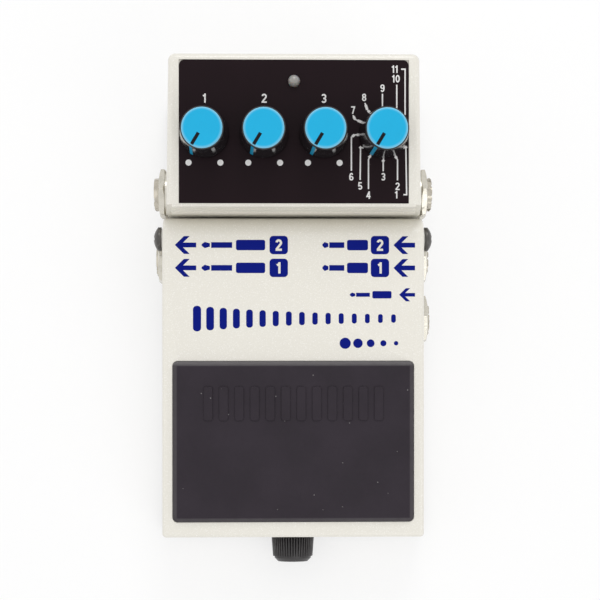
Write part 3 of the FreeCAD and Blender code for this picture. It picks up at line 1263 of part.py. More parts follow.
# Sockets
def jack_pieces():
    bushings, nuts, washers, tags = [], [], [], []
    for name, sign, y, z, high in JACKS:
        face = jack_face(z, high)
        seat = jack_seat(z)
        front = f"({TOWER_Y} + wall + running_gap)" if high else f"({y} - jack_width / 2)"
        rear = "high_jack_rear" if high else f"({y} + jack_width / 2)"
        near, far = on_side(sign, f"{face} - jack_depth", face)
        block = box(
            f"{name}_block", (near, front, f"{z} - jack_height / 2"), (far, rear, f"{z} + jack_height / 2"))
        near, far = on_side(sign, f"{face} - jack_depth + 1", f"{face} + 1")
        bore = cylinder(f"{name}_bore", "jack_bore", f"({far}) - ({near})", (near, y, z), "X")
        keep(name, cut(f"{name}_solid", block, bore))

        proud = "jack_proud" if high else "low_jack_proud"
        end = f"({seat} + jack_washer + jack_nut_height + {proud})"
        near, far = on_side(sign, face, end)
        length = f"({far}) - ({near})"
        bushings.append(cut(
            f"{name}_bushing", cylinder(
                f"{name}_bushing_blank", "jack_bushing_radius", length, (near, y, z), "X"),
            cylinder(f"{name}_bushing_bore", "jack_bore", length, (near, y, z), "X")))
        near, far = on_side(sign, seat, f"{seat} + jack_washer")
        washers.append(cut(
            f"{name}_washer", cylinder(
                f"{name}_washer_disc", "jack_washer_radius", "jack_washer", (near, y, z), "X"),
            cylinder(
                f"{name}_washer_hole", "jack_bushing_radius + running_gap", "jack_washer", (near, y, z), "X")))
        near, far = on_side(sign, f"{seat} + jack_washer", f"{seat} + jack_washer + jack_nut_height")
        nuts.append(cut(
            f"{name}_nut", bevelled_hexagon(
                f"{name}_nut_blank", "jack_nut_across", "jack_nut_height", (near, y, z), "X"),
            cylinder(f"{name}_nut_hole", "jack_bushing_radius + running_gap", "jack_nut_height", (near, y, z),
                "X")))
        if high:
            for i, share in enumerate((0.2, 0.5, 0.8)):
                tags.append(cylinder(
                    f"{name}_pin_{i}", "pin_radius", f"{z} - jack_height / 2 - {BOARD_TOP}",
                    (f"{sign} * ({face} - {share} * jack_depth)", "high_jack_rear - 6 * pin_radius",
                        BOARD_TOP)))
    keep("jack_bushings", group("jack_bushing_group", *bushings))
    keep("jack_nuts", group("jack_nut_group", *nuts))
    keep("jack_washers", group("jack_washer_group", *washers))
    keep("jack_pins", group("jack_pin_group", *tags))

    axis_z = f"({BOARD_TOP} + inlet_above)"
    wall_face = f"({rear_y(axis_z + ' + inlet_half')} - wall - jack_wall_gap)"
    block = box(
        "inlet_block", ("-inlet_half", f"{wall_face} - inlet_depth", BOARD_TOP),
        ("inlet_half", wall_face, f"{axis_z} + inlet_half"))
    nose = cylinder("inlet_nose_tube", "inlet_nose", f"{rear_y(axis_z)} - {wall_face}",
        ("0", wall_face, axis_z), "Y")
    bore = cylinder("inlet_bore_hole", "inlet_bore", "20", ("0", f"{wall_face} - inlet_depth + 2", axis_z),
        "Y")
    keep("power_inlet", cut("inlet_solid", fuse("inlet_blank", block, nose), bore))
    keep("power_inlet_pin", cylinder(
        "inlet_pin_rod", "inlet_pin", f"inlet_depth - 3", ("0", f"{wall_face} - inlet_depth + 2", axis_z),
        "Y"))


def check_document():
    """Stop on any failed object or bad shape."""
    for item in doc.Objects:
        if "Invalid" in item.State or "Error" in item.State:
            raise RuntimeError(f"{item.Name} failed: {item.State}")
    for node, piece in nodes.items():
        if piece.Shape.isNull() or not piece.Shape.isValid() or not piece.Shape.Solids:
            raise RuntimeError(f"{node} has no valid solid")


keep("case_shell", case_shell())
base_pieces()
panel_pieces()
control_pieces()
treadle_pieces()
hinge_pieces()
thumbscrew_pieces()
return_spring()
battery_pieces()
switch_pieces()
board_pieces()
jack_pieces()
doc.recompute()
check_document()
os.makedirs("parts", exist_ok=True)
for node, piece in nodes.items():
    piece.Shape.exportStep(f"parts/{node}.step")
print(len(nodes), "nodes written")
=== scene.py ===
"""Looks of a compact delay pedal: paint, print, rubber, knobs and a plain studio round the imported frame."""

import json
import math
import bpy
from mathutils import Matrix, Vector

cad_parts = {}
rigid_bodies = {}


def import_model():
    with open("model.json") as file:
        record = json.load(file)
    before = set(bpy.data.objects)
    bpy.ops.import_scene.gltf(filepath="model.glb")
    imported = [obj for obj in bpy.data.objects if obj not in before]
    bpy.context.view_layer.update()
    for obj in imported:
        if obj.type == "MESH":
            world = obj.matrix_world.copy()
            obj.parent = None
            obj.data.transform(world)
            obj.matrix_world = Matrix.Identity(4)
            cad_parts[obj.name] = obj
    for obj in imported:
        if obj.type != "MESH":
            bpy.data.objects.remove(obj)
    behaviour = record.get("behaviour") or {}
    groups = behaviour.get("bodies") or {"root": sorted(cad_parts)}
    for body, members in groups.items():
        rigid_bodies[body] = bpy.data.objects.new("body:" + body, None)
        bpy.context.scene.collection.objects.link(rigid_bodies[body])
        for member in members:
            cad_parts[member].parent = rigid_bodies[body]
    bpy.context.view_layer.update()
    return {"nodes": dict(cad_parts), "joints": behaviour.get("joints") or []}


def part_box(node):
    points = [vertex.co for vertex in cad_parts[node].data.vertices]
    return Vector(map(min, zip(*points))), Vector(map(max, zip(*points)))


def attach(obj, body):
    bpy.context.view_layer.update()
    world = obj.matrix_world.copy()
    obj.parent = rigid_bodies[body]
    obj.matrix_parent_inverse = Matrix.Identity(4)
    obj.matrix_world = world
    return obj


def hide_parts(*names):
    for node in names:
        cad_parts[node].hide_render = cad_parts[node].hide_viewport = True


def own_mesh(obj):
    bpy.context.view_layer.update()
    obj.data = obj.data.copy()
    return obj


bl_info = {
    "name": "Delay pedal looks",
    "version": (1, 0, 0),
    "blender": (4, 5, 0),
    "location": "3D View > Sidebar > Pedal",
    "description": "Finishes, prints, rubber pad, knob pointers and studio for the packed pedal",
    "category": "Object",
}

import bmesh
import bpy
from bpy.props import FloatProperty, FloatVectorProperty, IntProperty, PointerProperty
from mathutils import Matrix, Vector

for leftover in list(bpy.data.objects):
    bpy.data.objects.remove(leftover)
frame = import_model()
NODES = frame["nodes"]
MM = 0.001
SLOPE = math.radians(8)
TREADLE_FRONT = Matrix.Translation((0, -61 * MM, 22 * MM))
# Millimetres across, up the slope and out of the treadle's top face, to metres in the pedal's frame
TREADLE_FACE = TREADLE_FRONT @ Matrix.Rotation(SLOPE, 4, "X") @ Matrix.Scale(MM, 4)
PANEL_RISE = 9.9
PANEL_FACE = TREADLE_FACE @ Matrix.Translation((0, 0, PANEL_RISE))
# Places on the two faces and sizes, in millimetres
KNOBS = (("level", -22.425), ("feedback", -7.475), ("time", 7.475), ("mode", 22.425))
KNOB_ALONG, KNOB_SPACING = 103.1, 14.95
KNOB_BASE = 9.8
POINTER_TURN = -math.radians(31)
POINTER_NEAR, POINTER_FAR, POINTER_HALF, POINTER_LOW, POINTER_HIGH = 1.5, 4.72, 0.42, 12.41, 12.67
# Height over the knob's base, and radius, at the lower and upper end of a knob's skirt
SKIRT_LOW, SKIRT_HIGH = (0.9, 6.2), (12.1, 5.28)
STRIPE_HEIGHTS, STRIPE_HALF, STRIPE_LIFT = (1.4, 4.0, 8.0, 11.6), 0.42, 0.03
PAD_MIDDLE, PAD_LENGTH, PAD_WIDTH, PAD_SEAT, PAD_CORNER = 24.8, 41.6, 62.4, 0.58, 1.4
BAR_WIDTH, BAR_LENGTH, BAR_START, BAR_CORNER = 2.4, 8.9, 26.3, 0.7
SCALE_DOT_SIDE, SCALE_DOT_ALONG, SCALE_DOT_RADIUS = 3.98, 95.86, 0.77
SCALE_DIGIT_ALONG, SCALE_DIGIT, DIAL_DIGIT = 112.0, 2.3, 1.9
TILES, TILE, TILE_RADIUS, TILE_DIGIT = (-3.8, 22.4), 4.75, 0.95, 2.9
WIDE_ARROWS, WIDE_PLUGS = ((-30.6, -25.1), (25.9, 31.5)), ((-23.7, 16.4), (7.5, 11.8))
# Rows of signs on the treadle: place up the slope, arrows from tip to end and their height,
# plug signs by start and length and their height, and the digit on the row's tiles
SIGN_ROWS = (
    (75.6, WIDE_ARROWS, 4.6, WIDE_PLUGS, 2.7, "2"),
    (69.7, WIDE_ARROWS, 4.6, WIDE_PLUGS, 2.7, "1"),
    (62.75, ((27.4, 31.5),), 3.4, ((14.6, 10.8),), 1.9, ""))
ECHO_ROW, ECHO_START, ECHO_SPREAD = 56.6, -24.9, 54.2
DOT_ROW, DOT_START, DOT_SPACING = 50.2, 13.4, 3.3
BORE_RADIUS, THREAD_RADIUS, THREAD_ROOT, THREAD_PITCH = 3.25, 4.5, 4.16, 0.75
SPRING_TURNS, SPRING_WIRE_RADIUS = 7, 0.6
# Millimetres across and up the treadle's face: under the camera, and where it looks
CAMERA_OVER, CAMERA_AIM = (-4.9, 63.0), (1.7, 61.4)
# Side, and the axis along Y and Z in millimetres
SOCKETS = ((1, 28.4, 27.0), (1, 12.9, 14.2), (1, -3.3, 14.2), (-1, 28.4, 27.0), (-1, 12.9, 14.2))


# Sizes and colours that a user would change
def amount_prop(name, default, description, unit="NONE"):
    return FloatProperty(name=name, default=default, min=0.0, description=description, precision=3, unit=unit)


def colour_prop(name, default, description):
    return FloatVectorProperty(
        name=name, default=default, size=3, min=0.0, max=1.0, subtype="COLOR", description=description)


class PedalColours(bpy.types.PropertyGroup):
    paint: colour_prop("Paint", (0.81, 0.783, 0.708), "Pearl paint of the casting and the treadle")
    ink: colour_prop("Ink", (0.0015, 0.008, 0.2), "Print on the treadle")
    panel: colour_prop("Panel", (0.011, 0.0048, 0.0068), "Control panel plate")
    marks: colour_prop("Marks", (0.8, 0.79, 0.78), "Print on the control panel")
    cap: colour_prop("Caps", (0.007, 0.42, 0.72), "Coloured caps of the knobs")
    rubber: colour_prop("Rubber", (0.0245, 0.0185, 0.0255), "Pad on the treadle")


class PedalSizes(bpy.types.PropertyGroup):
    print_thick: amount_prop("Print", 0.03, "Thickness of the printed ink, in millimetres")
    pad_rise: amount_prop("Pad", 1.4, "Height of the rubber pad over the treadle, in millimetres")
    pad_bevel: amount_prop("Pad bevel", 1.25, "Width of the bevel round the pad, in millimetres")
    bar_count: IntProperty(name="Grip bars", default=12, min=0, description="Raised bars across the pad")
    bar_pitch: amount_prop("Bar spacing", 4.0, "Spacing of the grip bars, in millimetres")
    echo_count: IntProperty(
        name="Echo bars", default=16, min=1, description="Printed bars that grow shorter like echoes")
    stroke: amount_prop("Leader", 0.34, "Width of the lines round the mode dial, in millimetres")
    edge: amount_prop("Edge", 0.12, "Rounding added to sharp edges, in millimetres")


class PedalStudio(bpy.types.PropertyGroup):
    distance: amount_prop("Distance", 333.5, "Camera over the treadle's top face, in millimetres")
    lens: FloatProperty(name="Lens", default=77.4, unit="CAMERA", description="Focal length of the camera")
    sky: amount_prop("Sky", 0.7, "Strength of the light from all round")
    sky_top: amount_prop("Sky top", 0.92, "Strength of the sky straight over the panel")
    key: amount_prop("Key", 0.6, "Power of the lamp in front on the right, in watts", "POWER")
    fill: amount_prop("Fill", 0.3, "Power of the lamp on the left, in watts", "POWER")
    back: amount_prop("Back", 0.8, "Power of the lamp behind, in watts", "POWER")


# Shader maths
class Wire:
    """Output socket of a node tree that adds its Math nodes when it is used in arithmetic."""

    def __init__(self, tree, socket):
        self.tree = tree
        self.socket = socket

    def maths(self, operation, *values):
        return self.tree.node("ShaderNodeMath", {"operation": operation}, dict(enumerate(values)))["Value"]

    def __add__(self, other):
        return self.maths("ADD", self, other)

    def __sub__(self, other):
        return self.maths("SUBTRACT", self, other)

    def __rsub__(self, other):
        return self.maths("SUBTRACT", other, self)

    def __mul__(self, other):
        return self.maths("MULTIPLY", self, other)

    def __truediv__(self, other):
        return self.maths("DIVIDE", self, other)

    def __rtruediv__(self, other):
        return self.maths("DIVIDE", other, self)

    def __gt__(self, other):
        return self.maths("GREATER_THAN", self, other)

    def __lt__(self, other):
        return self.maths("LESS_THAN", self, other)

    __radd__ = __add__
    __rmul__ = __mul__

    def fract(self):
        return self.maths("FRACT", self)

    def size(self):
        return self.maths("ABSOLUTE", self)

    def most(self, other):
        return self.maths("MAXIMUM", self, other)

    def ramp(self, low, high):
        """0 under low, 1 over high, smooth between them."""
        values = {"Value": self, "From Min": low, "From Max": high}
        return self.tree.node("ShaderNodeMapRange", {"interpolation_type": "SMOOTHSTEP"}, values)["Result"]


class Made:
    """A node whose outputs are read by name or identifier."""

    def __init__(self, tree, node):
        self.tree = tree
        self.node = node

    def __getitem__(self, name):
        return Wire(self.tree, next(s for s in self.node.outputs if name in (s.identifier, s.name)))


class Tree:
    """A node tree that is built by one method for every kind of node."""

    def __init__(self, tree):
        self.tree = tree
        self.tree.nodes.clear()

    def node(self, kind, settings=None, values=None):
        made = self.tree.nodes.new(kind)
        for key, value in (settings or {}).items():
            setattr(made, key, value)
        self.connect(made, values or {})
        return Made(self, made)

    def connect(self, made, values):
        for key, value in values.items():
            if isinstance(key, int):
                socket = made.inputs[key]
            else:
                socket = next(s for s in made.inputs if key in (s.identifier, s.name))
            if isinstance(value, Wire):
                self.tree.links.new(value.socket, socket)
            else:
                socket.default_value = value


class Finish(Tree):
    """A material round one Principled shader, with its constants set on the shader's own sockets."""

    def __init__(self, name, colour, roughness, **constants):
        self.colour = colour
        self.material = bpy.data.materials.new(name)
        self.material.use_nodes = True
        super().__init__(self.material.node_tree)
        values = {"Base Color": (*colour, 1), "Roughness": roughness}
        for key, value in constants.items():
            values[key.replace("_", " ").title().replace("Ior", "IOR")] = value
        self.shader = self.node("ShaderNodeBsdfPrincipled", {}, values)
        self.node("ShaderNodeOutputMaterial", {}, {"Surface": self.shader["BSDF"]})
        self.place = self.node("ShaderNodeTexCoord")["Object"]

    def feed(self, **values):
        """Link what varies over the surface to the shader."""
        self.connect(self.shader.node, {key.replace("_", " "): value for key, value in values.items()})
        return self

    def noise(self, size, detail=2.0, stretch=(1, 1, 1)):
        """Noise with features of about that size in millimetres."""
        values = {"Vector": self.stretched(stretch), "Scale": 1 / (size * MM), "Detail": detail, "W": 0.0}
        return self.node("ShaderNodeTexNoise", {"noise_dimensions": "4D"}, values)["Fac"]

    def stretched(self, stretch):
        if stretch == (1, 1, 1):
            return self.place
        values = {"Vector": self.place, "Scale": stretch}
        return self.node("ShaderNodeMapping", {}, values)["Vector"]

    def cells(self, size, output="Distance", **settings):
        values = {"Vector": self.place, "Scale": 1 / (size * MM)}
        return self.node("ShaderNodeTexVoronoi", settings, values)[output]

    def grain(self, size):
        """One random number for each small cell."""
        colour = self.cells(size, "Color")
        return self.node("ShaderNodeSeparateColor", {}, {"Color": colour})["Red"]

    def axis(self, letter):
        return self.node("ShaderNodeSeparateXYZ", {}, {"Vector": self.place})[letter]

    def along_slope(self):
        """Millimetres up the treadle's slope from its front edge."""
        up = (0, math.cos(SLOPE), math.sin(SLOPE))
        values = {0: self.place, 1: up}
        reach = self.node("ShaderNodeVectorMath", {"operation": "DOT_PRODUCT"}, values)["Value"]
        front = TREADLE_FACE.translation.dot(Vector(up))
        return (reach - front) / MM

    def tint(self, low, high, factor):
        values = {"Factor_Float": factor}
        for key, colour in (("A_Color", low), ("B_Color", high)):
            values[key] = colour if isinstance(colour, Wire) else (*colour, 1)
        return self.node("ShaderNodeMix", {"data_type": "RGBA"}, values)["Result_Color"]

    def mottled(self, low, high, factor):
        """The finish's own colour, between two strengths."""
        return self.tint(shade(self.colour, low), shade(self.colour, high), factor)

    def bump(self, height, depth):
        """Normal from a height between 0 and 1, with its depth in millimetres."""
        values = {"Height": height, "Distance": depth * MM, "Strength": 1.0}
        return self.node("ShaderNodeBump", {}, values)["Normal"]

    def specks(self, spacing, size, share):
        """Mask of small scattered specks, such as dust."""
        near = self.cells(spacing)
        chosen = self.grain(spacing) < share
        return (near < size / spacing) * chosen


def shade(colour, factor):
    return tuple(min(1.0, c * factor) for c in colour)


def settings():
    scene = bpy.context.scene
    return scene.pedal_colours, scene.pedal_sizes, scene.pedal_studio


# Finishes
def pearl_paint(colour):
    """Off-white paint with fine pearl flakes under a thin clear coat."""
    paint = Finish("pearl_paint", colour, 0.42, coat_weight=0.8, coat_roughness=0.14, specular_ior_level=0.4)
    flake = paint.grain(0.16)
    cloud = paint.noise(9.0, 3.0)
    sparkle = (flake > 0.93) * 0.6
    level = flake * 0.45 + cloud * 0.35 + paint.noise(0.5, 3.0) * 0.2
    body = paint.mottled(0.95, 1.045, level)
    return paint.feed(
        Base_Color=paint.tint(body, (0.96, 0.94, 0.9), sparkle),
        Roughness=0.34 + paint.noise(2.5) * 0.14,
        Normal=paint.bump(paint.noise(0.7, 4.0), 0.012)).material


def ink(name, colour, roughness=0.4):
    """Screen-printed ink with slightly uneven cover."""
    made = Finish(name, colour, roughness, specular_ior_level=0.07)
    cover = made.noise(0.35, 4.0) * 0.6 + made.noise(3.0) * 0.4
    return made.feed(
        Base_Color=made.mottled(0.86, 1.12, cover),
        Roughness=roughness - 0.06 + made.noise(0.6) * 0.14,
        Normal=made.bump(made.noise(0.25, 3.0), 0.006)).material


def moulded_rubber(name, colour):
    """Matt rubber with a fine moulded grain, a little bloom, a bevel painted lighter, partly as rubbing and
    partly as a painted highlight along its rear edge, and scattered dust.
    """
    rubber = Finish(name, colour, 0.62, specular_ior_level=0.22)
    bloom = rubber.noise(14.0, 4.0).ramp(0.35, 0.7)
    body = rubber.mottled(0.9, 1.22, bloom * 0.7 + rubber.noise(0.4, 3.0) * 0.3)
    lighter_band_width = 1.2
    from_side = rubber.axis("X").size() / MM - (PAD_WIDTH / 2 - lighter_band_width)
    from_end = (rubber.along_slope() - PAD_MIDDLE).size() - (PAD_LENGTH / 2 - lighter_band_width)
    bevel = from_side.most(from_end).ramp(-0.15, 0.25)
    rear_highlight = (rubber.along_slope() - PAD_MIDDLE - PAD_LENGTH / 2 + lighter_band_width).ramp(-0.2, 0.9)
    # Lighter bevel: a little rubbing all round, plus a painted highlight that is strongest along the rear
    # edge
    share = bevel * (0.1 + rear_highlight * 0.45 + rubber.noise(2.0, 3.0) * 0.15)
    rubbed_and_highlit = rubber.tint(body, (0.2, 0.19, 0.195), share)
    specks = rubber.specks(2.4, 0.15, 0.3)
    return rubber.feed(
        Base_Color=rubber.tint(rubbed_and_highlit, (0.2, 0.19, 0.19), specks),
        Roughness=0.54 - bevel * 0.16 + rubber.noise(1.2, 3.0) * 0.18,
        Normal=rubber.bump(rubber.noise(0.22, 4.0) * 0.7 + rubber.grain(0.18) * 0.3, 0.02)).material


def panel_paint(colour):
    """Satin black plate with a hint of dust."""
    panel = Finish("panel_black", colour, 0.36, specular_ior_level=0.1)
    specks = panel.specks(3.4, 0.1, 0.1)
    body = panel.mottled(0.85, 1.3, panel.noise(8.0, 3.0) * 0.6 + panel.noise(0.3) * 0.4)
    return panel.feed(
        Base_Color=panel.tint(body, (0.3, 0.3, 0.31), specks),
        Roughness=0.3 + panel.noise(0.9, 3.0) * 0.16,
        Normal=panel.bump(panel.noise(0.3, 3.0), 0.008)).material


def glossy_knob(colour):
    """Polished black plastic with fine dust and faint moulding waves."""
    knob = Finish("knob_black", colour, 0.14, specular_ior_level=0.55, coat_weight=0.3, coat_roughness=0.08)
    specks = knob.specks(1.6, 0.13, 0.22)
    body = knob.mottled(0.8, 1.4, knob.noise(3.0, 3.0))
    return knob.feed(
        Base_Color=knob.tint(body, (0.25, 0.25, 0.26), specks),
        Roughness=0.1 + specks * 0.4 + knob.noise(0.8) * 0.08,
        Normal=knob.bump(knob.noise(1.8), 0.02)).material


def satin_cap(colour):
    """Coloured moulded cap with a fine satin texture and a paler ring round its edge, a painted highlight."""
    cap = Finish("cap_blue", colour, 0.42, specular_ior_level=0.25)
    level = cap.noise(5.0, 2.0) * 0.5 + cap.noise(0.25, 3.0) * 0.5
    across = ((cap.axis("X") / (KNOB_SPACING * MM)).fract() - 0.5) * KNOB_SPACING
    along = cap.along_slope() - KNOB_ALONG
    # Painted highlight: a paler ring round the cap's edge
    rim_highlight = (across * across + along * along).ramp(4.2 ** 2, 5.2 ** 2)
    body = cap.mottled(0.93, 1.06, level)
    return cap.feed(
        Base_Color=cap.tint(body, (0.4, 0.76, 0.93), rim_highlight * 0.75),
        Roughness=0.36 + cap.noise(0.5) * 0.12,
        Normal=cap.bump(cap.noise(0.16, 3.0), 0.006)).material


def plated(name, colour, roughness, wear=0.1):
    """Plated or turned metal with faint tool marks and some tarnish."""
    metal = Finish(name, colour, roughness, metallic=1.0)
    marks = metal.noise(0.35, 3.0, stretch=(1, 1, 6))
    stain = metal.noise(2.2, 4.0).ramp(0.45, 0.75)
    return metal.feed(
        Base_Color=metal.tint(colour, shade(colour, 0.8 - wear), stain * 0.5 + marks * 0.2),
        Roughness=roughness * 0.75 + stain * wear + marks * 0.1,
        Normal=metal.bump(marks, 0.006)).material


def moulded(name, colour, roughness=0.45):
    """Moulded plastic with a fine spark-eroded texture."""
    plastic = Finish(name, colour, roughness)
    level = plastic.noise(4.0, 3.0) * 0.5 + plastic.noise(0.3, 2.0) * 0.5
    return plastic.feed(
        Base_Color=plastic.mottled(0.82, 1.2, level),
        Roughness=roughness - 0.06 + plastic.noise(0.7, 3.0) * 0.16,
        Normal=plastic.bump(plastic.noise(0.2, 3.0), 0.012)).material


def blackened(name, colour):
    """Black oxide on a screw, worn a little bare in patches."""
    screw = Finish(name, colour, 0.3, metallic=0.9)
    worn = screw.noise(0.7, 4.0).ramp(0.55, 0.75)
    return screw.feed(
        Base_Color=screw.tint(colour, (0.34, 0.32, 0.3), worn * 0.5),
        Roughness=0.28 + screw.noise(0.5, 3.0) * 0.2,
        Normal=screw.bump(screw.noise(0.3, 3.0), 0.01)).material


def brushed_plate(name, colour):
    """Sheet steel with a straight brush."""
    plate = Finish(name, colour, 0.36, metallic=1.0)
    brush = plate.noise(0.12, 4.0, stretch=(1, 0.04, 1))
    return plate.feed(
        Base_Color=plate.mottled(0.82, 1.08, brush),
        Roughness=0.28 + brush * 0.2,
        Normal=plate.bump(brush, 0.006)).material


def studded_rubber(name, colour):
    """Rubber sheet with a fine grid of square studs, painted lighter on the studs and darker between them as
    painted light and shade.
    """
    rubber = Finish(name, colour, 0.7)
    across = ((rubber.axis("X") / (1.6 * MM)).fract() - 0.5).size()
    along = ((rubber.axis("Y") / (1.6 * MM)).fract() - 0.5).size()
    stud = (1 - across.ramp(0.3, 0.4)) * (1 - along.ramp(0.3, 0.4))
    wear = rubber.noise(6.0, 4.0)
    # Painted light and shade: stud tops lighter than the grooves between them; the noise adds a random tone
    return rubber.feed(
        Base_Color=rubber.mottled(0.8, 1.7, stud * 0.4 + wear * 0.4),
        Roughness=0.62 + wear * 0.2,
        Normal=rubber.bump(stud + rubber.noise(0.3, 3.0) * 0.15, 0.12)).material


def circuit_board(name, colour):
    """Solder mask with copper tracks under it and bare pads."""
    board = Finish(name, colour, 0.32, coat_weight=0.4, coat_roughness=0.1)
    lanes = board.cells(3.2, "Distance", feature="DISTANCE_TO_EDGE", distance="CHEBYCHEV")
    track = (1 - lanes.ramp(0.035, 0.06)) * (board.noise(7.0) > 0.42)
    pads = board.specks(2.4, 0.75, 0.4)
    mask = board.mottled(0.75, 1.15, board.noise(5.0, 3.0))
    tracked = board.tint(mask, shade(colour, 2.0), track)
    return board.feed(
        Base_Color=board.tint(tracked, (0.66, 0.6, 0.5), pads),
        Metallic=pads * 0.9,
        Roughness=0.26 + board.noise(0.8) * 0.12,
        Normal=board.bump(track + pads, 0.03)).material


def battery_wrap():
    """Plain printed can: dark sleeve, copper shoulder and one pale ring."""
    can = Finish("battery_can", (0.02, 0.021, 0.026), 0.32, coat_weight=0.5, coat_roughness=0.1)
    across = can.axis("X")
    shoulder = across.ramp(11.8 * MM, 12.0 * MM)
    ring = across.ramp(10.6 * MM, 10.7 * MM) * (1 - shoulder)
    sleeve = can.tint((0.016, 0.017, 0.022), (0.03, 0.031, 0.036), can.noise(4.0, 3.0))
    copper = can.tint((0.58, 0.28, 0.13), (0.72, 0.4, 0.2), can.noise(0.5, 3.0, stretch=(1, 0.1, 1)))
    return can.feed(
        Base_Color=can.tint(can.tint(sleeve, (0.7, 0.69, 0.66), ring), copper, shoulder),
        Metallic=shoulder * 0.85,
        Roughness=0.26 + can.noise(1.0) * 0.12,
        Normal=can.bump(can.noise(0.8, 3.0), 0.01)).material


def flat_cable(name, colour):
    """Ribbed grey cable with a red first wire, painted darker in the grooves between the wires as painted
    shade.
    """
    cable = Finish(name, colour, 0.5)
    wires = (cable.axis("X") / (1.0 * MM)).fract()
    rib = 1 - (wires - 0.5).size().ramp(0.34, 0.5)
    first = 1 - cable.axis("X").ramp(8.9 * MM, 9.0 * MM)
    # Painted shade: darker in the grooves between the wires
    grey = cable.mottled(0.7, 1.1, rib)
    return cable.feed(
        Base_Color=cable.tint(grey, (0.5, 0.03, 0.02), first),
        Roughness=0.44 + cable.noise(0.8) * 0.14,
        Normal=cable.bump(rib, 0.2)).material


def open_foam(name, colour):
    """Grey open-cell foam, painted darker in its pores as painted shade."""
    foam = Finish(name, colour, 0.95, sheen_weight=0.2)
    pores = foam.cells(0.7).ramp(0.1, 0.55)
    # Painted shade: darker in the pores, which the bump sinks
    return foam.feed(
        Base_Color=foam.mottled(0.4, 1.3, pores),
        Roughness=0.85 + foam.noise(1.0) * 0.12,
        Normal=foam.bump(pores, 0.25)).material


def milky_lens():
    """Unlit lamp: milky plastic with an uneven tone."""
    lens = Finish(
        "lamp_lens", (0.34, 0.3, 0.29), 0.3, subsurface_weight=0.25, coat_weight=0.6, coat_roughness=0.12)
    body = lens.tint((0.29, 0.235, 0.225), (0.42, 0.35, 0.34), lens.noise(0.8, 3.0))
    return lens.feed(
        Base_Color=body,
        Roughness=0.26 + lens.noise(0.4) * 0.1,
        Normal=lens.bump(lens.noise(0.5, 2.0), 0.02)).material


def paint_slots(*finishes):
    """Give every CAD mesh the finish that is named as its record slot."""
    named = {finish.name.split(".")[0]: finish for finish in finishes}
    for node in NODES.values():
        for slot in node.material_slots:
            wanted = slot.material.name.split(".")[0] if slot.material else ""
            if wanted in named:
                slot.material = named[wanted]


def soften(node, width):
    """Round the sharp edges of a CAD mesh a little, by modifiers alone."""
    weld = node.modifiers.new("weld", "WELD")
    weld.merge_threshold = 0.000002
    bevel = node.modifiers.new("edge", "BEVEL")
    bevel.width = width * MM
    bevel.segments = 2
    bevel.limit_method = "ANGLE"
    bevel.angle_limit = math.radians(38)
    bevel.harden_normals = True
    bevel.use_clamp_overlap = True


def piece_of(mesh, name, material, body, smooth=None):
    """Object at the origin made of a bmesh, smooth up to an angle in degrees, riding on a body."""
    data = bpy.data.meshes.new(name)
    mesh.to_mesh(data)
    mesh.free()
    piece = bpy.data.objects.new(name, data)
    bpy.context.scene.collection.objects.link(piece)
    data.materials.append(material)
    if smooth is not None:
        data.polygons.foreach_set("use_smooth", [True] * len(data.polygons))
        data.set_sharp_from_angle(angle=math.radians(smooth))
    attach(piece, body)
    return piece


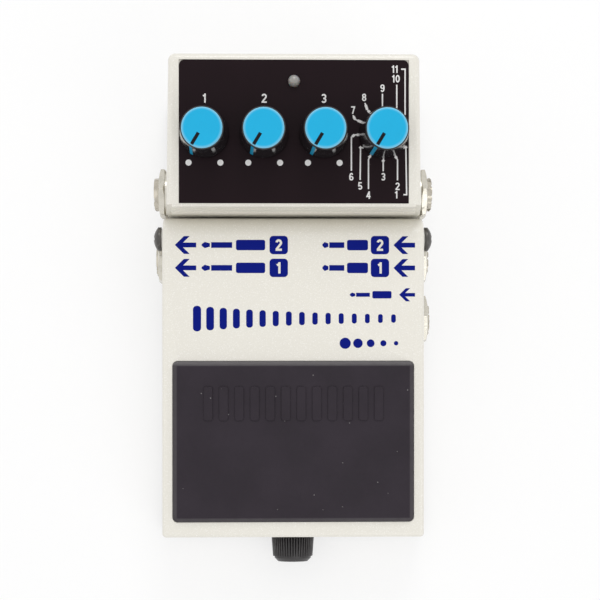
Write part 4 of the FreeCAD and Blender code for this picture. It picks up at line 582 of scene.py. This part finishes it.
# Mesh work, in millimetres on a face of the pedal
class Plates:
    """Collects closed plates on one face and turns them into one mesh object."""

    def __init__(self, face):
        self.face = face
        self.mesh = bmesh.new()

    def slab(self, outline, low, high):
        """Closed plate between two heights over an outline."""
        bottom = [self.mesh.verts.new((x, y, low)) for x, y in outline]
        top = [self.mesh.verts.new((x, y, high)) for x, y in outline]
        self.mesh.faces.new(list(reversed(bottom)))
        self.mesh.faces.new(top)
        for i in range(len(outline)):
            j = (i + 1) % len(outline)
            self.mesh.faces.new((bottom[i], bottom[j], top[j], top[i]))

    def stack(self, rings):
        """Closed form through rings of equal count, each a list of points."""
        loops = [[self.mesh.verts.new(point) for point in ring] for ring in rings]
        self.mesh.faces.new(list(reversed(loops[0])))
        self.mesh.faces.new(loops[-1])
        for low, high in zip(loops, loops[1:]):
            for i in range(len(low)):
                j = (i + 1) % len(low)
                self.mesh.faces.new((low[i], low[j], high[j], high[i]))

    def ring_solid(self, outline, centre, sign, steps=48):
        """Closed outline of places along X and radii, turned round an axis along X."""
        y, z = centre
        loops = []
        for place, radius in outline:
            angles = [2 * math.pi * i / steps for i in range(steps)]
            points = [(sign * place, y + radius * math.cos(a), z + radius * math.sin(a)) for a in angles]
            loops.append([self.mesh.verts.new(Vector(point) * MM) for point in points])
        for one, two in zip(loops, loops[1:] + loops[:1]):
            for i in range(steps):
                j = (i + 1) % steps
                self.mesh.faces.new((one[i], one[j], two[j], two[i]))

    def stroke(self, points, width, low, high, closed=False):
        """Closed ribbon of even width along points, with mitred corners."""
        path = [Vector(point) for point in points]
        count, rows = len(path), []
        for i, point in enumerate(path):
            into = (point - path[i - 1]).normalized() if i or closed else (path[1] - point).normalized()
            out = (path[(i + 1) % count] - point).normalized() if i < count - 1 or closed else into
            way = (into + out).normalized()
            side = Vector((-way.y, way.x)) * width / 2 / max(way.dot(into), 0.5)
            corners = ((point - side, low), (point + side, low), (point + side, high), (point - side, high))
            rows.append([self.mesh.verts.new((corner.x, corner.y, height)) for corner, height in corners])
        if not closed:
            self.mesh.faces.new(rows[0])
            self.mesh.faces.new(list(reversed(rows[-1])))
        for one, two in zip(rows, rows[1:] + (rows[:1] if closed else [])):
            for k in range(4):
                j = (k + 1) % 4
                self.mesh.faces.new((one[k], two[k], two[j], one[j]))

    def number(self, digits, x, y, height, low, high, weight=0.17):
        """Plain digits, centred on a point."""
        widths = [0.36 if digit == "1" else 0.58 for digit in digits]
        gap = 0.1
        place = -(sum(widths) + gap * (len(digits) - 1)) / 2
        for digit, wide in zip(digits, widths):
            middle = place + wide / 2
            for i, (points, closed) in enumerate(DIGITS[digit]):
                line = [(x + (u + middle) * height, y + (v - 0.5) * height) for u, v in points]
                self.stroke(line, weight * height, low, high + (high - low) * 0.04 * i, closed)
            place += wide + gap

    def make(self, name, material, body, smooth=None):
        """Object with its plates laid on the face, riding on a body."""
        bmesh.ops.remove_doubles(self.mesh, verts=self.mesh.verts, dist=0.0005)
        bmesh.ops.recalc_face_normals(self.mesh, faces=self.mesh.faces)
        self.mesh.transform(self.face)
        return piece_of(self.mesh, name, material, body, smooth)


def rounded_box(cx, cy, width, height, radius, steps=6):
    """Outline of a rectangle with round corners, counter-clockwise."""
    points = []
    for corner, (sx, sy) in enumerate(((1, 1), (-1, 1), (-1, -1), (1, -1))):
        mx, my = cx + sx * (width / 2 - radius), cy + sy * (height / 2 - radius)
        for i in range(steps + 1):
            a = math.pi / 2 * (corner + i / steps)
            points.append((mx + radius * math.cos(a), my + radius * math.sin(a)))
    return points


def disc(cx, cy, radius, steps=28):
    angles = [2 * math.pi * i / steps for i in range(steps)]
    return [(cx + radius * math.cos(a), cy + radius * math.sin(a)) for a in angles]


def arrow(tip, end, y, height):
    """Outline of an arrow to the left, with a swept head and a plain shaft."""
    half = height / 2
    stroke = height * 0.135
    head = half * 1.02
    wing = height * 0.32
    notch = tip + wing + head * stroke / half
    return [
        (tip, y), (tip + head, y + half), (tip + head + wing, y + half), (notch, y + stroke),
        (end, y + stroke), (end, y - stroke), (notch, y - stroke), (tip + head + wing, y - half),
        (tip + head, y - half)]


def plug_outlines(x, y, length, height):
    """Sign of an audio plug that points left: its tip, its shaft and its handle, as closed outlines."""
    shaft = height * 0.27
    neck, ring, collar = x + length * 0.13, x + length * 0.17, x + length * 0.5
    nose = x + length * 0.05
    tip = [(x, y + shaft * 0.3), (nose, y + shaft * 1.1), (neck, y + shaft * 0.6),
           (neck, y - shaft * 0.6), (nose, y - shaft * 1.1), (x, y - shaft * 0.3)]
    return [
        tip, rounded_box((ring + collar) / 2 - length * 0.02, y, collar - ring, shaft * 2, 0.05, 1),
        rounded_box((collar + x + length) / 2 + length * 0.02, y, length * 0.46, height, height * 0.2)]


def arc(cx, cy, rx, ry, start, end, steps=14):
    """Points on an ellipse between two angles in degrees."""
    angles = [math.radians(start + (end - start) * i / steps) for i in range(steps + 1)]
    return [(cx + rx * math.cos(a), cy + ry * math.sin(a)) for a in angles]


def loop(cx, cy, rx, ry):
    return arc(cx, cy, rx, ry, 0, 360, 24)[:-1], True


# Middle lines of plain digits, one high, and whether each is a closed loop
DIGITS = {
    "0": (loop(0, 0.5, 0.2, 0.415),),
    "1": (([(0.06, 1.0), (0.06, 0.0)], False), ([(-0.16, 0.73), (0.06, 0.86)], False)),
    "2": ((arc(0, 0.7, 0.2, 0.215, 168, -38) + [(-0.19, 0.13)], False),
          ([(-0.28, 0.085), (0.28, 0.085)], False)),
    "3": ((arc(0, 0.705, 0.19, 0.21, 155, -90) + [(-0.06, 0.495)], False),
          ([(-0.06, 0.51)] + arc(0, 0.297, 0.2, 0.212, 90, -155), False)),
    "4": (([(0.08, 0.93), (-0.2, 0.31), (0.28, 0.31)], False), ([(0.1, 1.0), (0.1, 0.0)], False)),
    "5": (([(0.22, 0.915), (-0.14, 0.915), (-0.18, 0.5)] + arc(0, 0.31, 0.2, 0.225, 118, -155), False),),
    "6": (loop(0, 0.3, 0.2, 0.215), ([(-0.2, 0.3)] + arc(0, 0.5, 0.2, 0.415, 180, 38), False)),
    "7": (([(-0.24, 0.915), (0.2, 0.915), (-0.06, 0.0)], False),),
    "8": (loop(0, 0.72, 0.18, 0.195), loop(0, 0.3, 0.2, 0.215)),
}
DIGITS["9"] = tuple(([(-x, 1 - y) for x, y in points], closed) for points, closed in DIGITS["6"])


def ring_3d(outline, height):
    return [(x, y, height) for x, y in outline]


class PEDAL_OT_paintwork(bpy.types.Operator):
    """Paint the casting and the treadle, the panel plate and the knobs with their caps"""

    bl_idname = "pedal.paintwork"
    bl_label = "Paintwork and knobs"

    def execute(self, context):
        colours, _, _ = settings()
        paint_slots(
            pearl_paint(colours.paint),
            panel_paint(colours.panel),
            glossy_knob((0.011, 0.011, 0.012)),
            satin_cap(colours.cap),
            milky_lens(),
            moulded("thumb_black", (0.03, 0.027, 0.028), 0.36))
        return {"FINISHED"}


class PEDAL_OT_metalwork(bpy.types.Operator):
    """Plate the nuts, washers, bushings, screws, shafts, plates and the spring"""

    bl_idname = "pedal.metalwork"
    bl_label = "Metalwork"

    def execute(self, context):
        paint_slots(
            plated("nickel", (0.7, 0.67, 0.59), 0.2),
            plated("steel", (0.6, 0.6, 0.6), 0.3),
            plated("spring_steel", (0.5, 0.5, 0.51), 0.24),
            plated("control_steel", (0.56, 0.56, 0.55), 0.34),
            plated("shaft_alloy", (0.72, 0.72, 0.72), 0.28),
            plated("spacer_brass", (0.76, 0.58, 0.28), 0.24),
            blackened("dark_screws", (0.1, 0.095, 0.09)),
            brushed_plate("steel_plate", (0.5, 0.5, 0.51)))
        return {"FINISHED"}


class PEDAL_OT_inner_parts(bpy.types.Operator):
    """Finish the plastic, rubber, battery, boards and cables inside and below"""

    bl_idname = "pedal.inner_parts"
    bl_label = "Inside and underside"

    def execute(self, context):
        paint_slots(
            studded_rubber("black_rubber", (0.014, 0.014, 0.015)),
            moulded("black_plastic", (0.018, 0.018, 0.019)),
            moulded("white_bush", (0.72, 0.71, 0.66), 0.4),
            moulded("plunger_white", (0.66, 0.65, 0.6), 0.38),
            moulded("lead_red", (0.5, 0.012, 0.012), 0.4),
            moulded("lead_black", (0.015, 0.015, 0.015), 0.4),
            circuit_board("board_green", (0.008, 0.09, 0.03)),
            flat_cable("ribbon_grey", (0.42, 0.42, 0.44)),
            battery_wrap())
        return {"FINISHED"}


class PEDAL_OT_rubber_pad(bpy.types.Operator):
    """Mould the rubber pad with its bevel and raised grip bars, in place of the plain solid"""

    bl_idname = "pedal.rubber_pad"
    bl_label = "Rubber pad"

    def execute(self, context):
        colours, sizes, _ = settings()
        rise, bevel = sizes.pad_rise, sizes.pad_bevel
        middle, length, width = PAD_MIDDLE, PAD_LENGTH, PAD_WIDTH
        steps = (
            (0.0, -PAD_SEAT), (0.0, 0.02), (0.05, 0.16), (0.17, 0.3),
            (bevel * 0.8, rise - 0.16), (bevel, rise - 0.05), (bevel + 0.22, rise))
        plates = Plates(TREADLE_FACE)
        plates.stack([
            ring_3d(rounded_box(
                0, middle, width - 2 * inset, length - 2 * inset, max(PAD_CORNER - inset * 0.55, 0.5), 8),
                height)
            for inset, height in steps])
        bar_y = middle - length / 2 + BAR_START + BAR_LENGTH / 2
        for i in range(sizes.bar_count):
            x = (i - (sizes.bar_count - 1) / 2) * sizes.bar_pitch
            plates.stack([
                ring_3d(rounded_box(
                    x, bar_y, BAR_WIDTH - 2 * inset, BAR_LENGTH - 2 * inset, BAR_CORNER - inset * 0.6, 5),
                    rise + height)
                for inset, height in ((0.0, -0.1), (0.0, 0.12), (0.05, 0.24), (0.16, 0.32), (0.32, 0.35))])
        rubber = moulded_rubber("pad_rubber", colours.rubber)
        pad = plates.make("moulded_pad", rubber, "lid", smooth=28)
        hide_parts("treadle_pad")
        return {"FINISHED"}


# Mode dial: angle clockwise from straight up, the line's corners from the knob outwards, which of them
# are thickened, and the digit's place
MODE_DIAL = (
    (120, ((26.6, 99.3), (28.1, 99.8), (28.3, 87.9), (27.5, 87.9)), (1,), (25.7, 87.9)),
    (150, ((25.0, 98.5), (25.6, 97.3), (26.0, 96.7), (26.0, 91.5)), (1,), (26.0, 90.0)),
    (180, ((22.7, 98.4), (22.4, 96.4), (22.4, 93.8)), (1,), (22.4, 92.4)),
    (210, ((19.9, 98.6), (19.0, 97.4), (18.7, 96.7), (18.7, 89.3)), (1,), (18.7, 87.8)),
    (240, ((18.9, 99.5), (16.7, 99.7), (16.6, 91.6)), (1,), (16.6, 90.1)),
    (270, ((17.6, 103.1), (17.1, 102.9), (15.2, 102.9), (14.4, 102.3), (14.4, 93.9)), (1, 2), (14.4, 92.4)),
    (300, ((17.6, 105.8), (15.3, 106.8), (14.8, 107.8)), (0, 1), (14.8, 109.1)),
    (330, ((19.0, 108.5), (18.4, 109.2), (17.8, 110.9)), (0, 1), (17.6, 112.3)),
    (0, ((22.2, 110.1), (22.2, 113.2)), (), (22.2, 114.6)),
    (30, ((25.8, 109.6), (25.8, 115.5)), (), (25.6, 117.0)),
    (60, ((27.9, 107.9), (27.9, 119.4), (26.9, 119.4)), (), (25.3, 119.4)),
)


class PEDAL_OT_panel_print(bpy.types.Operator):
    """Print the scale dots, the mode dial's lines and the plain digits on the control panel"""

    bl_idname = "pedal.panel_print"
    bl_label = "Panel print"

    def execute(self, context):
        colours, sizes, _ = settings()
        thick, width = sizes.print_thick, sizes.stroke
        plates = Plates(PANEL_FACE)
        for _, x in KNOBS[:3]:
            for side in (-SCALE_DOT_SIDE, SCALE_DOT_SIDE):
                plates.slab(disc(x + side, SCALE_DOT_ALONG, SCALE_DOT_RADIUS), 0.0, thick)
        for i, (_, x) in enumerate(KNOBS[:3]):
            plates.number(str(i + 1), x, SCALE_DIGIT_ALONG, SCALE_DIGIT, 0.0, thick)
        for number, (angle, corners, thickened, place) in enumerate(MODE_DIAL, start=1):
            plates.stroke(corners, width, 0.0, thick)
            for i in thickened:
                if angle in (270, 300, 330):
                    start, end = Vector(corners[i]), Vector(corners[min(i + 1, len(corners) - 1)])
                    plates.stroke((start, start.lerp(end, 0.7)), width * 1.9, 0.0, thick * 1.1)
                else:
                    x, y = corners[i]
                    plates.slab(disc(x, y, 0.46, 4), 0.0, thick * 1.1)
            plates.number(str(number), *place, DIAL_DIGIT, 0.0, thick)
        plates.make("panel_print", ink("panel_marks", colours.marks), "case")
        return {"FINISHED"}


class PEDAL_OT_treadle_print(bpy.types.Operator):
    """Print the arrows, plug signs, numbered tiles, echo bars and dots on the treadle"""

    bl_idname = "pedal.treadle_print"
    bl_label = "Treadle print"

    def execute(self, context):
        colours, sizes, _ = settings()
        thick = sizes.print_thick
        plates = Plates(TREADLE_FACE)
        tiles = Plates(TREADLE_FACE)
        for y, arrows, arrow_height, plugs, plug_height, digit in SIGN_ROWS:
            for tip, end in arrows:
                plates.slab(arrow(tip, end, y, arrow_height), 0.0, thick)
            for x in TILES if digit else ():
                plates.slab(rounded_box(x, y, TILE, TILE, TILE_RADIUS), 0.0, thick)
                tiles.number(digit, x, y, TILE_DIGIT, thick, thick * 1.6, 0.2)
            for x, length in plugs:
                for outline in plug_outlines(x, y, length, plug_height):
                    plates.slab(outline, 0.0, thick)
        for i in range(sizes.echo_count):
            x = ECHO_START + i * ECHO_SPREAD / sizes.echo_count
            strength = 0.9 ** i
            height = 1.0 + 5.6 * strength
            width = 0.95 + 1.15 * strength
            plates.slab(rounded_box(x, ECHO_ROW, width, height, width * 0.45), 0.0, thick)
        for i in range(5):
            plates.slab(disc(DOT_START + i * DOT_SPACING, DOT_ROW, 1.45 - i * 0.22, 24), 0.0, thick)
        plates.make("treadle_print", ink("treadle_ink", colours.ink), "lid")
        tiles.make("tile_digits", ink("tile_ink", shade(colours.paint, 0.98)), "lid")
        return {"FINISHED"}


class PEDAL_OT_pointers(bpy.types.Operator):
    """Fill the pointer grooves of the caps and paint the stripe down each knob's skirt"""

    bl_idname = "pedal.pointers"
    bl_label = "Knob pointers"

    def execute(self, context):
        colours, _, _ = settings()
        black = ink("pointer_black", (0.012, 0.01, 0.012))
        blue = ink("skirt_stripe", shade(colours.cap, 0.62))
        out = Vector((math.sin(POINTER_TURN), -math.cos(POINTER_TURN), 0))
        across = Vector((math.cos(POINTER_TURN), math.sin(POINTER_TURN), 0))
        knob_face = TREADLE_FACE @ Matrix.Translation((0, 0, KNOB_BASE))
        for name, x in KNOBS:
            axis = Vector((x, KNOB_ALONG, 0))
            fill = Plates(knob_face)
            corners = [axis + out * reach + across * side for reach, side in (
                (POINTER_NEAR, -POINTER_HALF), (POINTER_FAR, -POINTER_HALF),
                (POINTER_FAR, POINTER_HALF), (POINTER_NEAR, POINTER_HALF))]
            fill.slab([(c.x, c.y) for c in corners], POINTER_LOW, POINTER_HIGH)
            fill.make(f"{name}_pointer", black, f"{name}_control")
            stripe = Plates(knob_face)
            stripe.stack([self.stripe_ring(axis, height) for height in STRIPE_HEIGHTS])
            stripe.make(f"{name}_stripe", blue, f"{name}_control", smooth=40)
        return {"FINISHED"}

    def stripe_ring(self, axis, height):
        """Section of the stripe at one height: along the skirt, and back a little outside it."""
        (low, low_radius), (high, high_radius) = SKIRT_LOW, SKIRT_HIGH
        radius = low_radius + (high_radius - low_radius) * (height - low) / (high - low)
        half = STRIPE_HALF / radius
        ring = []
        for lift, angles in ((0.0, (-half, 0, half)), (STRIPE_LIFT, (half, 0, -half))):
            for a in angles:
                way = Vector((math.sin(POINTER_TURN + a), -math.cos(POINTER_TURN + a), 0))
                ring.append(tuple(axis + way * (radius + lift) + Vector((0, 0, height))))
        return ring


class PEDAL_OT_threaded_bushings(bpy.types.Operator):
    """Turn the sockets' bushings with their threads and bevelled rims, in place of the plain tubes"""

    bl_idname = "pedal.threaded_bushings"
    bl_label = "Threaded bushings"

    def execute(self, context):
        node = NODES["jack_bushings"]
        bushings = Plates(Matrix.Identity(4))
        groups = {}
        for v in node.data.vertices:
            groups.setdefault(self.nearest(v.co), []).append(abs(v.co.x))
        for (sign, y, z), reach in groups.items():
            near, far = min(reach) / MM, max(reach) / MM
            outline = [(near, BORE_RADIUS), (near, THREAD_RADIUS - 0.05)]
            place = near + 0.4
            while place < far - THREAD_PITCH:
                outline += [
                    (place, THREAD_RADIUS), (place + 0.2, THREAD_RADIUS), (place + 0.375, THREAD_ROOT),
                    (place + 0.55, THREAD_RADIUS)]
                place += THREAD_PITCH
            outline += [
                (far - 0.35, THREAD_RADIUS - 0.02), (far, THREAD_ROOT - 0.01), (far, 3.6), (far - 0.3, 3.3),
                (far - 0.6, BORE_RADIUS)]
            bushings.ring_solid(outline, (y, z), sign)
        nickel = plated("bushing_nickel", (0.56, 0.52, 0.44), 0.2)
        piece = bushings.make("socket_bushings", nickel, "case", 35)
        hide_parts("jack_bushings")
        return {"FINISHED"}

    def nearest(self, point):
        """The socket whose axis is nearest to a point on the same side."""
        def distance(socket):
            side, y, z = socket
            return (point.y - y * MM) ** 2 + (point.z - z * MM) ** 2 + (point.x * side < 0)
        return min(SOCKETS, key=distance)


class PEDAL_OT_return_spring(bpy.types.Operator):
    """Wind the return spring's round wire with closed end turns"""

    bl_idname = "pedal.return_spring"
    bl_label = "Return spring"

    def execute(self, context):
        low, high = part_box("return_spring")
        wire = SPRING_WIRE_RADIUS * MM
        radius = (high.x - low.x) / 2 - wire
        centre = (low + high) / 2
        turns, steps, sides = SPRING_TURNS, 40, 14
        wound = bmesh.new()
        rings = []
        room = high.z - low.z - 2 * wire
        # Share of the height for each closed end turn, a little over the wire's own thickness
        closed = 2.1 * wire / room
        for i in range(turns * steps + 1):
            wound_turns = i / steps
            middle = closed + (1 - 2 * closed) * (wound_turns - 1) / (turns - 2)
            rise = min(max(middle, closed * min(wound_turns, 1)), 1 - closed * min(turns - wound_turns, 1))
            height = low.z + wire + room * rise
            turn = 2 * math.pi * wound_turns
            out = Vector((math.cos(turn), math.sin(turn), 0))
            at = Vector((centre.x, centre.y, height)) + out * radius
            ring = [wound.verts.new(at + (out * math.cos(a) + Vector((0, 0, 1)) * math.sin(a)) * wire)
                    for a in (2 * math.pi * k / sides for k in range(sides))]
            rings.append(ring)
        wound.faces.new(rings[0])
        wound.faces.new(list(reversed(rings[-1])))
        for one, two in zip(rings, rings[1:]):
            for k in range(sides):
                j = (k + 1) % sides
                wound.faces.new((one[k], two[k], two[j], one[j]))
        bmesh.ops.recalc_face_normals(wound, faces=wound.faces)
        finish = plated("spring_wire_steel", (0.5, 0.5, 0.51), 0.24)
        spring = piece_of(wound, "spring_wire", finish, "case", smooth=180)
        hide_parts("return_spring")
        hinge = next(j for j in frame["joints"] if j["name"] == "treadle_press")
        drop = (hinge["pos_m"][1] - low.y) * math.tan(math.radians(hinge["range_deg"][1])) + 0.04 * MM
        1 - drop / (high.z - low.z)
        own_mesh(spring)
        return {"FINISHED"}


class PEDAL_OT_battery_foam(bpy.types.Operator):
    """Swell the foam strip behind the battery, in place of the plain solid"""

    bl_idname = "pedal.battery_foam"
    bl_label = "Battery foam"

    def execute(self, context):
        low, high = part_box("battery_foam")
        centre, half = (low + high) / 2, (high - low) / 2
        shape = bmesh.new()
        bmesh.ops.create_grid(shape, x_segments=32, y_segments=12, size=1.0)
        bmesh.ops.solidify(shape, geom=shape.faces[:], thickness=2.0)
        for v in shape.verts:
            u, w = v.co.x, v.co.y
            front = 1 if v.co.z > -1 else -1
            edge = (1 - u ** 8) * (1 - w ** 8)
            ripple = 0.04 * math.sin(u * 23 + w * 3) * edge
            v.co = Vector((
                centre.x + half.x * u * (1 - 0.006 * (1 - abs(w))),
                centre.y + front * half.y * (0.55 + 0.41 * edge ** 0.5 + ripple),
                centre.z + half.z * w * 0.995))
        bmesh.ops.recalc_face_normals(shape, faces=shape.faces)
        finish = open_foam("battery_foam_grey", (0.12, 0.12, 0.125))
        foam = piece_of(shape, "battery_cushion", finish, "case", smooth=180)
        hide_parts("battery_foam")
        return {"FINISHED"}


class PEDAL_OT_edges(bpy.types.Operator):
    """Round the sharp edges of the parts that show"""

    bl_idname = "pedal.edges"
    bl_label = "Edges"

    def execute(self, context):
        _, sizes, _ = settings()
        for name in (
                "treadle", "panel_plate", "jack_nuts", "hinge_screws", "thumbscrew_knob", "battery_snap"):
            soften(NODES[name], sizes.edge)
        for name, _ in KNOBS:
            soften(NODES[f"{name}_knob"], sizes.edge * 1.2)
            soften(NODES[f"{name}_cap"], sizes.edge * 0.7)
        return {"FINISHED"}


class PEDAL_OT_studio(bpy.types.Operator):
    """Set up the pale floor, the soft lamps and the camera over the treadle"""

    bl_idname = "pedal.studio"
    bl_label = "Studio"

    def floor(self):
        """Paper with a hole under the pedal, clear from below, so that the underside is seen and lit."""
        data = bpy.data.meshes.new("floor")
        reach, hole, height = (12000, 12000), (31, 57), -0.02
        corners = [(sx * x * MM, sy * y * MM, height * MM) for x, y in (reach, hole)
                   for sx, sy in ((-1, -1), (1, -1), (1, 1), (-1, 1))]
        data.from_pydata(corners, [], [(i, (i + 1) % 4, (i + 1) % 4 + 4, i + 4) for i in range(4)])
        floor = bpy.data.objects.new("floor", data)
        bpy.context.scene.collection.objects.link(floor)
        paper = Finish("studio_paper", (0.96, 0.96, 0.96), 0.9, specular_ior_level=0.0)
        path = paper.node("ShaderNodeLightPath")
        glow = paper.node("ShaderNodeEmission", {}, {"Color": (1, 1, 1, 1), "Strength": 1.0})["Emission"]
        seen = path["Is Camera Ray"] + path["Is Glossy Ray"] + path["Is Transmission Ray"]
        share = seen.ramp(0.0, 1.0) * 0.62
        mixed = paper.node("ShaderNodeMixShader", {}, {0: share, 1: paper.shader["BSDF"], 2: glow})["Shader"]
        clear = paper.node("ShaderNodeBsdfTransparent", {}, {"Color": (1, 1, 1, 1)})["BSDF"]
        below = paper.node("ShaderNodeNewGeometry")["Backfacing"]
        shown = paper.node("ShaderNodeMixShader", {}, {0: below, 1: mixed, 2: clear})["Shader"]
        output = next(n for n in paper.tree.nodes if n.type == "OUTPUT_MATERIAL")
        paper.connect(output, {"Surface": shown})
        data.materials.append(paper.material)

    def lamp(self, name, place, power, size):
        data = bpy.data.lights.new(name, "AREA")
        data.shape = "DISK"
        data.size = size
        data.energy = power
        lamp = bpy.data.objects.new(name, data)
        lamp.location = place
        lamp.rotation_euler = (Vector((0, 0, 0.03)) - Vector(place)).to_track_quat("-Z", "Y").to_euler()
        bpy.context.scene.collection.objects.link(lamp)

    def camera(self, studio):
        data = bpy.data.cameras.new("camera")
        data.lens = studio.lens
        data.sensor_width = 36
        data.clip_start = 0.01
        camera = bpy.data.objects.new("camera", data)
        eye = TREADLE_FACE @ Vector((*CAMERA_OVER, studio.distance))
        aim = TREADLE_FACE @ Vector((*CAMERA_AIM, 0.0))
        back = (eye - aim).normalized()
        right = (TREADLE_FACE.to_3x3() @ Vector((0, 1, 0))).normalized().cross(back).normalized()
        up = back.cross(right)
        camera.matrix_world = Matrix.Translation(eye) @ Matrix((right, up, back)).transposed().to_4x4()
        bpy.context.scene.collection.objects.link(camera)
        bpy.context.scene.camera = camera

    def execute(self, context):
        _, _, studio = settings()
        self.floor()
        for name, place, power, size in (
                ("key_lamp", (0.3, -0.42, 0.48), studio.key, 0.5),
                ("fill_lamp", (-0.5, -0.05, 0.42), studio.fill, 0.6),
                ("back_lamp", (0.05, 0.46, 0.5), studio.back, 0.3)):
            self.lamp(name, place, power, size)
        self.camera(studio)
        scene = context.scene
        scene.view_settings.view_transform = "Standard"
        scene.world = self.sky(studio)
        return {"FINISHED"}

    def sky(self, studio):
        """Light that is strongest straight over the panel, as under a large soft box."""
        world = bpy.data.worlds.new("studio")
        world.use_nodes = True
        tent = Tree(world.node_tree)
        way = tent.node("ShaderNodeTexCoord")["Generated"]
        over = (0, -math.sin(SLOPE), math.cos(SLOPE))
        high = tent.node("ShaderNodeVectorMath", {"operation": "DOT_PRODUCT"}, {0: way, 1: over})["Value"]
        strength = studio.sky - high.ramp(0.5, 0.95) * (studio.sky - studio.sky_top)
        path = tent.node("ShaderNodeLightPath")
        shown = path["Is Camera Ray"] + path["Is Glossy Ray"] * 0.6 + path["Is Transmission Ray"]
        white = strength + (1 - strength) * shown
        values = {"Color": (1, 1, 1, 1), "Strength": white}
        light = tent.node("ShaderNodeBackground", {}, values)["Background"]
        tent.node("ShaderNodeOutputWorld", {}, {"Surface": light})
        return world


class PEDAL_PT_looks(bpy.types.Panel):
    """Shows the pedal's settings and the buttons of its operators"""

    bl_label = "Delay pedal"
    bl_idname = "PEDAL_PT_looks"
    bl_space_type = "VIEW_3D"
    bl_region_type = "UI"
    bl_category = "Pedal"

    def draw(self, context):
        scene = context.scene
        for group in (scene.pedal_colours, scene.pedal_sizes, scene.pedal_studio):
            column = self.layout.column(align=True)
            for name in group.__annotations__:
                column.prop(group, name)
        for operator in OPERATORS:
            self.layout.operator(operator.bl_idname)


OPERATORS = (
    PEDAL_OT_studio, PEDAL_OT_paintwork, PEDAL_OT_metalwork, PEDAL_OT_inner_parts, PEDAL_OT_rubber_pad,
    PEDAL_OT_panel_print, PEDAL_OT_treadle_print, PEDAL_OT_pointers, PEDAL_OT_threaded_bushings,
    PEDAL_OT_return_spring, PEDAL_OT_battery_foam, PEDAL_OT_edges)
GROUPS = {"pedal_colours": PedalColours, "pedal_sizes": PedalSizes, "pedal_studio": PedalStudio}


def register():
    for item in (*GROUPS.values(), *OPERATORS, PEDAL_PT_looks):
        bpy.utils.register_class(item)
    for name, group in GROUPS.items():
        setattr(bpy.types.Scene, name, PointerProperty(type=group))


def unregister():
    for name in GROUPS:
        delattr(bpy.types.Scene, name)
    for item in reversed((*GROUPS.values(), *OPERATORS, PEDAL_PT_looks)):
        bpy.utils.unregister_class(item)


def main():
    register()
    for operator in OPERATORS:
        group, name = operator.bl_idname.split(".")
        getattr(getattr(bpy.ops, group), name)()


if __name__ == "__main__":
    main()
